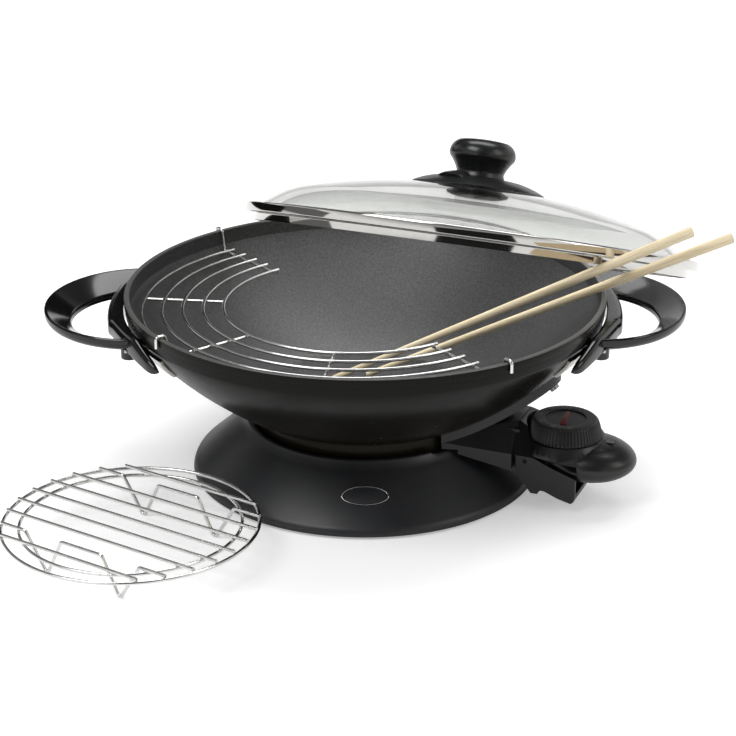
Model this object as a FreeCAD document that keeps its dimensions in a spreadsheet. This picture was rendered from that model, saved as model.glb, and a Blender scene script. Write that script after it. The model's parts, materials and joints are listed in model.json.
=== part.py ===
"""Electric wok with a lift-off glass lid, two racks, chopsticks and a plug-in heat control.

Frame: +Z up, the table at z = 0, the origin under the centre of the base, the handles along X.
The heat control is drawn in its own frame, whose X runs outward from the wok's axis, and is then
turned about Z by control_turn.
"""

import FreeCAD
import Part
import Sketcher
import math
import os
import re
from FreeCAD import Placement, Rotation, Vector

document = FreeCAD.newDocument("ElectricWok")
sizes = document.addObject("Spreadsheet::Sheet", "Sizes")

UP = Vector(0, 0, 1)
ORIGIN = Vector(0, 0, 0)
SKETCH_X_AXIS = -1
SKETCH_Y_AXIS = -2
START_POINT = 1
END_POINT = 2
BOWL_STEPS = 12
# corners of the ejector lever's side, as (reach from the wok's axis, height)
LEVER_SIDE = [(127, 40), (128, 26), (139, 12), (144, 12), (146, 15), (149, 15), (159, 11), (169, 8.5),
              (171, 10), (172, 13), (172, 28), (154, 34), (140, 40)]

DRIVING_SIZES = {
    # clearances
    "running_gap": 0.1,
    "seat_gap": 0.3,
    "plug_gap": 0.5,
    # base
    "foot_height": 2,
    "foot_radius": 8,
    "foot_inset": 21.2,
    "base_radius": 128.6,
    "base_edge_inset": 2.8,
    "base_edge_height": 8.2,
    "skirt_middle_height": 21,
    "skirt_flare": 0.53,
    "skirt_top_height": 37.4,
    "lip_height": 41.2,
    "lip_width": 4.4,
    "lip_slope": 2.8,
    "lip_crown": 0.1,
    "foot_clearance": 2.4,
    "notch_inner": 15,
    "notch_outer": 12,
    "notch_side": 8,
    "notch_drop": 1.5,
    "seat_height": 38,
    "base_wall": 3,
    "base_wall_across": 2.2,
    "cover_thickness": 2.5,
    "boss_radius": 4.5,
    "boss_circle": 66,
    "badge_half_length": 17,
    "badge_half_height": 7.25,
    "badge_thickness": 1.2,
    "badge_depth": 1.5,
    "badge_height": 24,
    "badge_bed": 0.03,
    # screws
    "screw_radius": 1.5,
    "screw_head_radius": 3,
    "screw_head_height": 1.6,
    "screw_length": 18,
    "handle_screw_radius": 2,
    "handle_screw_head": 3.5,
    "handle_screw_head_height": 2.5,
    "handle_screw_sink": 0.5,
    "handle_hole_depth": 10,
    # pan
    "rim_radius": 175,
    "rim_lip": 0.7,
    "rim_top": 140.5,
    "rim_band": 6,
    "shoulder_height": 128.4,
    "pan_wall": 3.1,
    "floor_radius": 82.2,
    "floor_height": 51.7,
    "pan_foot_width": 3.2,
    "bowl_power": 1.626,
    # heating element and its terminals
    "element_radius": 3.7,
    "element_inset": 20.2,
    "element_bend": 8,
    "element_leg_spread": 12,
    "element_leg_end": 100,
    "pin_radius": 2.3,
    "pin_end": 120,
    "probe_radius": 3.5,
    "probe_sleeve_wall": 1.4,
    "probe_sleeve_start": 40,
    "probe_sleeve_end": 92,
    "probe_start": 45,
    # terminal guard
    "guard_start": 76,
    "skirt_room": 4,
    "guard_start_half_width": 42,
    "guard_start_low": 42,
    "guard_start_high": 52,
    "seam": 124.7,
    "nose_half_width": 30,
    "nose_low": 28,
    "nose_shoulder": 41,
    "nose_high": 61,
    "nose_top_half_width": 13,
    "flange_thickness": 6,
    "flange_half_width": 43,
    "flange_tip_half_width": 16,
    "flange_end": 150,
    "guard_screw_reach": 141,
    # heat control
    "control_turn": -22,
    "seam_gap": 0.4,
    "shell_wall": 2.5,
    "shell_split": 36,
    "waist_reach": 150,
    "waist_half_width": 29,
    "waist_low": 24,
    "waist_high": 50,
    "waist_bevel": 8,
    "pod_reach": 172,
    "pod_middle": 35,
    "pod_half_length": 36,
    "pod_half_width": 30,
    "pod_half_height": 15.8,
    "collar_radius": 33,
    "collar_low": 42,
    "collar_top_radius": 28.5,
    "collar_top": 50,
    "slim_half_width": 24,
    "slim_reach": 173,
    "slim_top": 41,
    "block_start": 104,
    "block_end": 126.8,
    "block_half_width": 19,
    "block_height": 20,
    "contact_wall": 1.6,
    "contact_end": 124,
    "switch_start": 131,
    "switch_end": 165,
    "switch_half_width": 9,
    "switch_low": 40,
    "switch_high": 47.2,
    "dial_reach": 155,
    "dial_radius": 27,
    "dial_taper": 3.2,
    "dial_edge_rise": 1.6,
    "dial_edge_step": 0.6,
    "dial_edge_inset": 1,
    "dial_edge_round": 2.2,
    "dial_top": 62.4,
    "dial_gap": 0.4,
    "dial_room": 0.8,
    "dial_skin": 3.2,
    "dial_ring_radius": 14.8,
    "dial_ring_depth": 0.8,
    "spindle_radius": 3,
    "spindle_top": 58,
    "hub_radius": 7,
    "lens_reach": 189,
    "lens_radius": 3.4,
    "lens_stand": 0.6,
    "gland_reach": 176,
    "gland_height": 33,
    "gland_radius": 4.6,
    "gland_bore": 3.1,
    "gland_end": 34.5,
    "gland_collar": 2,
    "gland_collar_width": 1.5,
    "gland_boot_swell": 0.4,
    "gland_boot_taper": 0.4,
    "gland_root": 6,
    "shell_screw_near": 150,
    "shell_screw_near_half": 16.5,
    "shell_screw_far": 187,
    "shell_screw_far_half": 12,
    "shell_screw_low": 26.5,
    "shell_screw_top": 43,
    "shell_boss_radius": 4.2,
    # ejector lever
    "lever_half_width": 28,
    "lever_cheek": 2.5,
    "lever_web": 2.5,
    "lever_web_top": 26,
    "lever_mouth": 5,
    "lever_length": 60,
    "pivot_reach": 134,
    "pivot_height": 36,
    "pivot_radius": 1.5,
    "spring_radius": 2.8,
    "spring_half_length": 6,
    # handles
    "handle_reach": 68,
    "handle_inset": 9,
    "handle_half_width": 75,
    "handle_edge_low": 122,
    "handle_edge_high": 130,
    "grip_reach": 48.5,
    "grip_half_width": 52,
    "grip_low": 112.5,
    "grip_high": 118,
    "bar_gap": 0.6,
    "bar_thickness": 11.9,
    "bar_low": 117,
    "bar_high": 131,
    "arm_half_width": 111,
    "arm_low": 113,
    "arm_high": 120,
    "stud_half_spacing": 66,
    "stud_radius": 6,
    "stud_low": 112,
    "bracket_thickness": 2,
    "bracket_low": 108,
    "bracket_high": 122,
    "bracket_half_turn": 35,
    "tab_overhang": 8.5,
    "tab_low": 118.2,
    "tab_half_width": 6,
    # lid
    "lid_overhang": 3,
    "ring_height": 8,
    "ring_sheet": 1,
    "ring_lip_inset": 7,
    "skirt_gap": 0.7,
    "skirt_depth": 13.6,
    "glass_thickness": 3.6,
    "glass_top_gap": 0.1,
    "dome_height": 36,
    "dome_arc": 515,
    "knee_inset": 33,
    "knee_height": 18,
    "knee_arc": 81,
    "glass_bore": 4,
    "glass_step": 1,
    "glass_lip_step": 0.6,
    "glass_lip_gap": 0.4,
    "washer_seat": 0.9,
    "knob_waist_arc": 25,
    "lid_tilt": 20.84,
    "lid_turn": 67.68,
    "lean_turn": 119.1,
    "lean_turn_on_lid": 169.4,
    # lid knob
    "knob_screw_radius": 2.5,
    "knob_screw_head": 5,
    "knob_screw_end": 52,
    "knob_screw_head_drop": 2.5,
    "knob_screw_head_edge": 1.2,
    "knob_screw_head_round": 1.7,
    "knob_screw_head_flat": 1,
    "cup_radius": 18,
    "cup_low": 18,
    "cup_sheet": 1.2,
    "washer_radius": 24.7,
    "washer_low": 28,
    "knob_skirt_radius": 52,
    "knob_skirt_high": 42.5,
    "knob_skirt_wall": 2.5,
    "knob_skirt_arc": 70,
    "neck_radius": 19.7,
    "knob_waist_radius": 18.4,
    "knob_waist": 46,
    "knob_radius": 26,
    "knob_edge": 60,
    "knob_top_radius": 19,
    "knob_top_edge": 71,
    "knob_top": 72.4,
    "insert_radius": 5,
    "insert_low": 44,
    "insert_high": 58,
    # tempura rack
    "rack_wire": 1.2,
    "rack_height": 127,
    "rack_centre_x": -7.5,
    "rack_inner_arc": 95.8,
    "rack_pitch": 14.9,
    "rack_turn": 217.5,
    "rack_step_turn": 44,
    "rack_over_run": 1.6,
    "weld_depth": 0.3,
    "hook_drop": 8,
    "hook_bend": 2.2,
    # steaming rack
    "steam_x": -160,
    "steam_y": -150,
    "steam_turn": -33.1,
    "steam_wire": 1.25,
    "steam_height": 24.3,
    "steam_ring": 88,
    "steam_inner_ring": 76,
    "steam_bar_pitch": 17.4,
    "steam_outer_bar": 66,
    "steam_gap": 0.05,
    "toe_along": 31.5,
    "toe_inner_bend": 17.5,
    "toe_outer_bend": 49.3,
    "toe_round": 2.6,
    # chopsticks
    "stick_length": 298,
    "stick_tip_radius": 2.15,
    "stick_end_radius": 3.9,
    "first_tip_x": -24.1,
    "first_tip_y": 27.4,
    "second_tip_x": 1.2,
    "second_tip_y": 34.7,
    "first_lean_turn": 299.1,
    "second_lean_turn": -3.2,
}

for row, (alias, number) in enumerate(DRIVING_SIZES.items(), start=1):
    sizes.set("A%d" % row, alias)
    sizes.set("B%d" % row, str(number))
    sizes.setAlias("B%d" % row, alias)
document.recompute()

TIED_SIZES = {
    # sizes that follow another piece by a named step
    "seat_radius": "@floor_radius + @foot_clearance",
    "lip_radius": "@seat_radius + @lip_width",
    "skirt_top_radius": "@lip_radius + @lip_slope",
    "skirt_middle_radius": "@skirt_top_radius + (@base_radius - @skirt_top_radius) * @skirt_flare",
    "base_edge_radius": "@base_radius - @base_edge_inset",
    "foot_circle": "@base_radius - @foot_inset",
    "skirt_run": "(@skirt_middle_radius - @skirt_top_radius) / (@skirt_top_height - @skirt_middle_height)",
    "badge_radius": "@skirt_middle_radius - (@badge_height - @skirt_middle_height) * @skirt_run - @badge_bed",
    "shoulder_radius": "@rim_radius - @rim_lip",
    "element_circle": "@floor_radius - @element_inset",
    "dial_top_radius": "@dial_radius - @dial_taper",
    "handle_centre": "@rim_radius - @handle_inset",
    "tab_reach": "@rim_radius + @tab_overhang",
    "ring_lip_radius": "@rim_radius - @ring_lip_inset",
    "knee_radius": "@ring_lip_radius - @knee_inset",
}

nodes = {}


# ---------------------------------------------------------------- sizes and expressions

def link(text):
    """Write each @name of a size expression as its cell in the sheet, or as its tie to other sizes."""
    def written(match):
        name = match.group(1)
        return "(%s)" % link(TIED_SIZES[name]) if name in TIED_SIZES else "Sizes." + name
    return re.sub(r"@(\w+)", written, text)


def value(text):
    """Return the number that a size expression gives now."""
    return float(sizes.evalExpression(link(text)))


def bind(item, **texts):
    """Bind properties of an object to size expressions."""
    for name, text in texts.items():
        item.setExpression(name, link(text))
    return item


def place(item, base=ORIGIN, rotation=None):
    """Place an object at a point with an optional rotation."""
    item.Placement = Placement(base, rotation or Rotation())
    return item


def keep(item, name):
    """Name an object as one of the wok's sub-parts."""
    item.Label = name
    nodes[name] = item
    return item


def control_rotation():
    """Rotation from the heat control's own frame to the wok's frame."""
    return Rotation(UP, sizes.control_turn)


def polar(radius, turn, height=0.0):
    """Point at a radius and a turn in degrees about the wok's axis."""
    angle = math.radians(turn)
    return Vector(radius * math.cos(angle), radius * math.sin(angle), height)


# ---------------------------------------------------------------- sketched bodies

def sketch_on(body, role, name):
    """Add a sketch on one of the body's own origin planes."""
    plane = next(item for item in body.Origin.OriginFeatures if item.Role == role)
    sketch = body.newObject("Sketcher::SketchObject", name)
    sketch.AttachmentSupport = [(plane, "")]
    sketch.MapMode = "FlatFace"
    return sketch


def pin_point(sketch, edge, point, kind, text):
    """Hold one coordinate of a sketch point at the value of a size expression."""
    if text == "0":
        axis = SKETCH_Y_AXIS if kind == "DistanceX" else SKETCH_X_AXIS
        sketch.addConstraint(Sketcher.Constraint("PointOnObject", edge, point, axis))
        return
    index = sketch.addConstraint(Sketcher.Constraint(kind, edge, point, value(text)))
    sketch.setExpression("Constraints[%d]" % index, link(text))


def bent_edge(start, end, radius, left):
    """Arc from start to end that turns left or right with the given radius."""
    chord = end - start
    sagitta = radius - math.sqrt(radius ** 2 - (chord.Length / 2) ** 2)
    outward = Vector(chord.y, -chord.x, 0).normalize()
    if not left:
        outward = outward.negative()
    middle = (start + end) * 0.5 + outward * sagitta
    if left:
        return Part.Arc(start, middle, end)
    return Part.Arc(end, middle, start)


def outline(sketch, steps):
    """Draw a closed outline; a step is (x, y) or (x, y, "left" or "right", radius)."""
    corners = [Vector(value(step[0]), value(step[1]), 0) for step in steps]
    ends = []
    for index, step in enumerate(steps):
        start = corners[index - 1]
        end = corners[index]
        if len(step) == 2:
            edge = sketch.addGeometry(Part.LineSegment(start, end), False)
            ends.append((edge, START_POINT, END_POINT))
            continue
        left = step[2] == "left"
        edge = sketch.addGeometry(bent_edge(start, end, value(step[3]), left), False)
        ends.append((edge, START_POINT, END_POINT) if left else (edge, END_POINT, START_POINT))
    for index, step in enumerate(steps):
        edge, _, last = ends[index]
        following, first, _ = ends[(index + 1) % len(steps)]
        sketch.addConstraint(Sketcher.Constraint("Coincident", edge, last, following, first))
        pin_point(sketch, edge, last, "DistanceX", step[0])
        pin_point(sketch, edge, last, "DistanceY", step[1])
        if len(step) == 4:
            index = sketch.addConstraint(Sketcher.Constraint("Radius", edge, value(step[3])))
            sketch.setExpression("Constraints[%d]" % index, link(step[3]))


def lathe(name, steps):
    """Body turned about Z from an outline in the XZ plane; steps give (radius, height)."""
    body = document.addObject("PartDesign::Body", name)
    sketch = sketch_on(body, "XZ_Plane", name + "_outline")
    outline(sketch, steps)
    turned = body.newObject("PartDesign::Revolution", name + "_turned")
    turned.Profile = sketch
    turned.ReferenceAxis = (sketch, ["V_Axis"])
    turned.Angle = 360
    return body


# ---------------------------------------------------------------- primitives and booleans

def cylinder(name, radius, height, base=ORIGIN, direction=UP):
    """Part cylinder with bound sizes that starts at base and runs along direction."""
    item = bind(document.addObject("Part::Cylinder", name), Radius=radius, Height=height)
    return place(item, base, Rotation(UP, direction))


def box(name, low, high, rotation=None):
    """Part box between two corners given as three size expressions each."""
    item = document.addObject("Part::Box", name)
    sides = ["(%s) - (%s)" % (top, bottom) for top, bottom in zip(high, low)]
    bind(item, Length=sides[0], Width=sides[1], Height=sides[2])
    corner = Vector(*[value(text) for text in low])
    turn = rotation or Rotation()
    return place(item, turn.multVec(corner), turn)


def cut(name, base, tools):
    """Cut tools from a base."""
    item = document.addObject("Part::Cut", name)
    item.Base = base
    item.Tool = tools[0] if len(tools) == 1 else fuse(name + "_tools", tools)
    return item


def fuse(name, items):
    """Fuse items into one solid."""
    item = document.addObject("Part::MultiFuse", name)
    item.Shapes = items
    return item


def group(name, items):
    """Group equal loose pieces as one sub-part."""
    item = document.addObject("Part::Compound", name)
    item.Links = items
    return item


def solid(name, shape):
    """Object that holds a shape made by code."""
    item = document.addObject("Part::Feature", name)
    item.Shape = shape
    return item


def turned_face(edges, angle=360):
    """Solid turned about Z from a closed outline of edges in the XZ plane."""
    return Part.Face(Part.Wire(edges)).revolve(ORIGIN, UP, angle)


def polyline(points, closed=True):
    """Straight edges through points."""
    pairs = zip(points, points[1:] + points[:1]) if closed else zip(points, points[1:])
    return [Part.LineSegment(start, end).toShape() for start, end in pairs]


# ---------------------------------------------------------------- bent wire

def bent_path(points, bend):
    """Straight runs through points, joined by tangent arcs of the given radius."""
    edges = []
    start = points[0]
    for before, corner, after in zip(points, points[1:], points[2:]):
        into = (corner - before).normalize()
        out = (after - corner).normalize()
        turn = into.getAngle(out)
        setback = bend * math.tan(turn / 2)
        arc_start = corner - into * setback
        arc_end = corner + out * setback
        towards = (out - into).normalize()
        middle = corner + towards * (bend / math.cos(turn / 2) - bend)
        edges.append(Part.LineSegment(start, arc_start).toShape())
        edges.append(Part.Arc(arc_start, middle, arc_end).toShape())
        start = arc_end
    edges.append(Part.LineSegment(start, points[-1]).toShape())
    return Part.Wire(edges)


def bent_wire(points, bend, radius):
    """Round wire of the given radius swept along a bent path."""
    path = bent_path(points, bend)
    direction = points[1] - points[0]
    end_face = Part.Wire(Part.makeCircle(radius, points[0], direction))
    return path.makePipeShell([end_face], True, False)


def wire_arc(centre, radius, wire, start_turn, sweep):
    """Level arc of round wire about a centre, from start_turn through sweep degrees."""
    start = centre + polar(radius, start_turn)
    along = polar(1, start_turn + 90)
    disc = Part.Face(Part.Wire(Part.makeCircle(wire, start, along)))
    return disc.revolve(centre, UP, sweep)


def rod(start, end, radius):
    """Straight round rod between two points."""
    return Part.makeCylinder(radius, (end - start).Length, start, end - start)


# ---------------------------------------------------------------- bowl shape

def bowl_points(offset):
    """Points of the bowl's outside from its floor to its shoulder, moved outward by offset."""
    rise = sizes.shoulder_height - sizes.floor_height
    spread = value("@shoulder_radius") - sizes.floor_radius
    power = sizes.bowl_power
    points = []
    for step in range(BOWL_STEPS + 1):
        turn = math.pi / 2 * (1 - step / BOWL_STEPS)
        across = math.cos(turn)
        down = math.sin(turn)
        outward = Vector(power * down ** (power - 1) * across * rise, 0,
                         -power * across ** (power - 1) * down * spread)
        if step == 0:
            across = 0.0
            outward = Vector(0, 0, -1)
        if step == BOWL_STEPS:
            outward = Vector(1, 0, 0)
        outward.normalize()
        point = Vector(sizes.floor_radius + spread * across ** power, 0,
                       sizes.shoulder_height - rise * down ** power)
        points.append(point + outward * offset)
    return points


def bowl_edge(offset):
    """Smooth edge along the bowl's outside, moved outward by offset."""
    curve = Part.BSplineCurve()
    curve.interpolate(Points=bowl_points(offset), InitialTangent=Vector(1, 0, 0),
                      FinalTangent=UP)
    return curve.toShape()


def bowl_block(offset, top):
    """Everything inside the bowl's outside, moved outward by offset, up to a height."""
    points = bowl_points(offset)
    corners = [points[-1], Vector(points[-1].x, 0, top), Vector(0, 0, top),
               Vector(0, 0, points[0].z), points[0]]
    return turned_face([bowl_edge(offset)] + polyline(corners, closed=False))


def bowl_radius_at(height, offset=0.0):
    """Radius of the bowl's outside at a height."""
    points = bowl_points(offset)
    for lower, upper in zip(points, points[1:]):
        if lower.z <= height <= upper.z:
            share = (height - lower.z) / (upper.z - lower.z)
            return lower.x + share * (upper.x - lower.x)
    return points[-1].x


# ---------------------------------------------------------------- base

def base_shell():
    """Skirt base with a lip round the wok's foot, a cut for the guard and four screw bosses."""
    wall = "@base_wall"
    across = "@base_wall_across"
    skirt = lathe("skirt", [
        ("0", "@seat_height"),
        ("0", "@seat_height - %s" % wall),
        ("@skirt_top_radius", "@seat_height - %s" % wall),
        ("@skirt_middle_radius - %s" % across, "@skirt_middle_height - %s" % across),
        ("@base_edge_radius - %s" % across, "@base_edge_height - %s" % across),
        ("@base_radius - %s" % wall, "@foot_height"),
        ("@base_radius", "@foot_height"),
        ("@base_edge_radius", "@base_edge_height", "left", "@base_edge_height"),
        ("@skirt_middle_radius", "@skirt_middle_height"),
        ("@skirt_top_radius", "@skirt_top_height"),
        ("@lip_radius", "@lip_height"),
        ("@seat_radius", "@lip_height", "left", "@lip_width / 2 + @lip_crown"),
        ("@seat_radius", "@seat_height"),
    ])
    bosses = []
    holes = []
    for quarter in range(4):
        spot = polar(sizes.boss_circle, 45 + 90 * quarter, value("@foot_height + @cover_thickness"))
        bosses.append(cylinder("cover_boss", "@boss_radius",
                               "@seat_height - @base_wall / 2 - @foot_height - @cover_thickness", spot))
        holes.append(cylinder("cover_hole", "@screw_radius + @running_gap", "@screw_length", spot))
    notch_half = "@guard_start_half_width + @notch_side"
    notch = box("lip_cut", ("@seat_radius - @notch_inner", "-(%s)" % notch_half,
                            "@guard_start_low - @notch_drop"),
                ("@seat_radius + @notch_outer", notch_half, "@lip_height + @lip_width"), control_rotation())
    pocket = solid("badge_pocket", badge_block(sizes.seat_gap, -sizes.badge_depth, 20))
    shell = cut("base_solid", fuse("base_blank", [skirt] + bosses), holes + [notch, pocket])
    return keep(shell, "base_shell")


def badge_block(margin, start, end):
    """Oval block that stands on the front slope of the skirt, between two depths."""
    slope = Vector(0, -(sizes.skirt_top_height - sizes.skirt_middle_height),
                   value("@skirt_middle_radius") - value("@skirt_top_radius")).normalize()
    centre = Vector(0, -value("@badge_radius"), sizes.badge_height)
    oval = Part.Ellipse(ORIGIN, sizes.badge_half_length + margin, sizes.badge_half_height + margin)
    face = Part.Face(Part.Wire(oval.toShape()))
    block = face.extrude(UP * (end - start))
    block.Placement = Placement(centre + slope * start, Rotation(Vector(1, 0, 0), ORIGIN, slope, "ZXY"))
    return block


def base_pieces():
    """Everything of the base besides its shell."""
    cover_blank = cylinder("cover_blank", "@base_radius - @base_wall - @base_wall_across - 1",
                           "@cover_thickness", Vector(0, 0, sizes.foot_height))
    cover_holes = []
    screws = []
    feet = []
    top_of_head = value("@foot_height + @screw_head_height")
    for quarter in range(4):
        turn = 45 + 90 * quarter
        spot = polar(sizes.boss_circle, turn, sizes.foot_height)
        cover_holes.append(cylinder("head_hole", "@screw_head_radius + @running_gap",
                                    "@screw_head_height", spot))
        cover_holes.append(cylinder("shank_hole", "@screw_radius + @running_gap",
                                    "@cover_thickness", spot))
        head = cylinder("cover_screw_head", "@screw_head_radius", "@screw_head_height", spot)
        shank = cylinder("cover_screw_shank", "@screw_radius", "@screw_length - @cover_thickness",
                         polar(sizes.boss_circle, turn, top_of_head))
        screws.append(fuse("cover_screw", [head, shank]))
        feet.append(cylinder("rubber_foot", "@foot_radius", "@foot_height",
                             polar(value("@foot_circle"), turn)))
    keep(cut("cover_plate", cover_blank, cover_holes), "base_bottom_cover")
    keep(group("cover_screws", screws), "base_screws")
    keep(group("feet", feet), "rubber_feet")
    plate = badge_block(0, -sizes.badge_depth, sizes.badge_thickness - sizes.badge_depth)
    keep(solid("badge", plate), "badge_plate")


# ---------------------------------------------------------------- wok pan and its underside

def wok_pan():
    """Deep pan with a rim band, a flat floor and a foot ring that is open for the element's legs."""
    outside = bowl_points(0)
    inside = bowl_points(-sizes.pan_wall)
    band_low = sizes.rim_top - sizes.rim_band
    rim = polyline([
        outside[-1],
        Vector(value("@shoulder_radius"), 0, band_low),
        Vector(sizes.rim_radius, 0, band_low),
        Vector(sizes.rim_radius, 0, sizes.rim_top),
        Vector(inside[-1].x, 0, sizes.rim_top),
        inside[-1],
    ], closed=False)
    floor = polyline([inside[0], Vector(0, 0, inside[0].z), Vector(0, 0, outside[0].z), outside[0]],
                     closed=False)
    bowl = solid("bowl", turned_face([bowl_edge(0)] + rim + [bowl_edge(-sizes.pan_wall)] + floor))
    foot_outside = cylinder("foot_outside", "@floor_radius", "@floor_height - @seat_height",
                            Vector(0, 0, sizes.seat_height))
    foot_inside = cylinder("foot_inside", "@floor_radius - @pan_foot_width",
                           "@floor_height - @seat_height", Vector(0, 0, sizes.seat_height))
    foot_gap = box("foot_gap", ("@floor_radius - 15", "-@block_half_width", "@seat_height"),
                   ("@floor_radius + 15", "@block_half_width", "@floor_height"), control_rotation())
    foot = cut("foot_ring", foot_outside, [foot_inside, foot_gap])
    return keep(fuse("pan", [bowl, foot]), "wok_pan")


def element_height():
    """Height of the heating element's centre line under the wok's floor."""
    return value("@floor_height - @element_radius - @seat_gap")


def probe_height():
    """Height of the probe's centre line under the wok's floor."""
    return value("@floor_height - @probe_radius - @running_gap - @probe_sleeve_wall - @seat_gap")


def element_path():
    """Centre line of the heating element: a ring that bends out into two level legs."""
    ring = value("@element_circle")
    bend = sizes.element_bend
    spread = sizes.element_leg_spread
    bend_x = math.sqrt((ring + bend) ** 2 - (spread + bend) ** 2)
    level = UP * element_height()
    halves = []
    for side in (-1, 1):
        centre = Vector(bend_x, side * (spread + bend), 0)
        leg_side = Vector(0, -side, 0)
        ring_side = centre.negative().normalize()
        middle = centre + (leg_side + ring_side).normalize() * bend + level
        points = (Vector(sizes.element_leg_end, side * spread, 0) + level,
                  centre + leg_side * bend + level, middle, centre + ring_side * bend + level)
        halves.append(points)
    (first_end, first_knee, first_bend, first_ring) = halves[0]
    (last_end, last_knee, last_bend, last_ring) = halves[1]
    far = Vector(-ring, 0, 0) + level
    edges = [Part.LineSegment(first_end, first_knee), Part.Arc(first_knee, first_bend, first_ring),
             Part.Arc(first_ring, far, last_ring), Part.Arc(last_ring, last_bend, last_knee),
             Part.LineSegment(last_knee, last_end)]
    return Part.Wire([edge.toShape() for edge in edges])


def underside_pieces():
    """Heating element with its legs and pins, and the sleeve for the probe."""
    path = element_path()
    start = path.Vertexes[0].Point
    end_face = Part.Wire(Part.makeCircle(sizes.element_radius, start, Vector(1, 0, 0)))
    element = solid("element", path.makePipeShell([end_face], True, False))
    keep(place(element, ORIGIN, control_rotation()), "heating_element")
    pins = []
    for side in (-1, 1):
        leg_end = Vector(sizes.element_leg_end, side * sizes.element_leg_spread, element_height())
        pins.append(cylinder("terminal_pin", "@pin_radius", "@pin_end - @element_leg_end",
                             leg_end, Vector(1, 0, 0)))
    keep(place(group("pins", pins), ORIGIN, control_rotation()), "terminal_pins")
    start = Vector(sizes.probe_sleeve_start, 0, probe_height())
    length = "@probe_sleeve_end - @probe_sleeve_start"
    outside = cylinder("sleeve_outside", "@probe_radius + @running_gap + @probe_sleeve_wall",
                       length, start, Vector(1, 0, 0))
    bore = cylinder("sleeve_bore", "@probe_radius + @running_gap", length, start, Vector(1, 0, 0))
    keep(place(cut("sleeve", outside, [bore]), ORIGIN, control_rotation()), "probe_sleeve")


def section(reach, half_width, low, shoulder, high, top_half_width):
    """Six-sided section across the control's X at a reach."""
    corners = [(-half_width, low), (-half_width, shoulder), (-top_half_width, high),
               (top_half_width, high), (half_width, shoulder), (half_width, low)]
    return Part.Wire(polyline([Vector(reach, across, height) for across, height in corners]))


def nose_section(reach, inset=0.0):
    """Section of the guard and of the heat control where they meet."""
    return section(reach, sizes.nose_half_width - inset, sizes.nose_low + inset,
                   sizes.nose_shoulder - inset / 2, sizes.nose_high - inset,
                   sizes.nose_top_half_width - inset / 2)


def guard_screw_seat():
    """Point and outward direction of the guard's screw on the bowl, in the control's frame."""
    points = bowl_points(sizes.seat_gap)
    for lower, upper in zip(points, points[1:]):
        if lower.x <= sizes.guard_screw_reach <= upper.x:
            share = (sizes.guard_screw_reach - lower.x) / (upper.x - lower.x)
            along = upper - lower
            outward = Vector(along.z, 0, -along.x).normalize()
            return lower + along * share, outward


def terminal_guard():
    """Cover over the element's terminals: a flange that hugs the bowl and a nose for the plug."""
    start = section(sizes.guard_start, sizes.guard_start_half_width, sizes.guard_start_low,
                    (sizes.guard_start_low + sizes.guard_start_high) / 2, sizes.guard_start_high,
                    sizes.guard_start_half_width - 3)
    nose = Part.makeLoft([start, nose_section(sizes.seam)], True, True)
    tip_centre = sizes.flange_end - sizes.flange_tip_half_width
    plan = [
        Vector(sizes.guard_start, -sizes.flange_half_width, sizes.seat_height),
        Vector(tip_centre, -sizes.flange_tip_half_width, sizes.seat_height),
        Vector(tip_centre, sizes.flange_tip_half_width, sizes.seat_height),
        Vector(sizes.guard_start, sizes.flange_half_width, sizes.seat_height),
    ]
    tip = Part.Arc(plan[1], Vector(sizes.flange_end, 0, sizes.seat_height), plan[2]).toShape()
    sides = [Part.LineSegment(plan[0], plan[1]).toShape(), tip,
             Part.LineSegment(plan[2], plan[3]).toShape(),
             Part.LineSegment(plan[3], plan[0]).toShape()]
    pillar = Part.Face(Part.Wire(sides)).extrude(UP * (sizes.rim_top - sizes.seat_height))
    flange = pillar.common(bowl_block(sizes.seat_gap + sizes.flange_thickness, sizes.rim_top))
    blank = nose.fuse(flange)
    bowl_room = bowl_block(sizes.seat_gap, sizes.rim_top + sizes.rim_band)
    foot_room = Part.makeCylinder(sizes.floor_radius + sizes.seat_gap, sizes.floor_height)
    base_room = Part.makeCylinder(value("@skirt_top_radius") + sizes.skirt_room, sizes.guard_start_low)
    room = sizes.block_half_width + sizes.plug_gap
    plug_room = Part.makeBox(sizes.seam - sizes.block_start + 2, 2 * room,
                             sizes.block_height + 2 * sizes.plug_gap,
                             Vector(sizes.block_start - 1, -room, block_low() - sizes.plug_gap))
    leg_room = Part.makeBox(sizes.block_start - sizes.floor_radius + 5, 2 * sizes.block_half_width,
                            sizes.floor_height - sizes.guard_start_low + 1.5,
                            Vector(sizes.floor_radius - 5, -sizes.block_half_width,
                                   sizes.guard_start_low - 1))
    spot, outward = guard_screw_seat()
    screw_room = Part.makeCylinder(sizes.handle_screw_radius + sizes.running_gap, 30,
                                   spot - outward, outward)
    shape = blank.cut([bowl_room, foot_room, base_room, plug_room, leg_room, screw_room])
    guard = solid("guard", shape)
    keep(place(guard, ORIGIN, control_rotation()), "terminal_guard")
    shank_length = sizes.flange_thickness + sizes.seat_gap
    shank = Part.makeCylinder(sizes.handle_screw_radius, shank_length, spot, outward)
    head = Part.makeCylinder(sizes.handle_screw_head, sizes.handle_screw_head_height,
                             spot + outward * shank_length, outward)
    screw = solid("guard_fixing", shank.fuse(head))
    keep(place(screw, ORIGIN, control_rotation()), "guard_screw")


# ---------------------------------------------------------------- handles

def ellipse_wire(centre_x, reach, half_width, height):
    """Level oval about a point on the X axis; reach is along X."""
    long_side = max(reach, half_width)
    short_side = min(reach, half_width)
    oval = Part.Ellipse(ORIGIN, long_side, short_side)
    wire = Part.Wire(oval.toShape())
    quarter = Rotation(UP, 90 if half_width > reach else 0)
    wire.Placement = Placement(Vector(centre_x, 0, height), quarter)
    return wire


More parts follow.
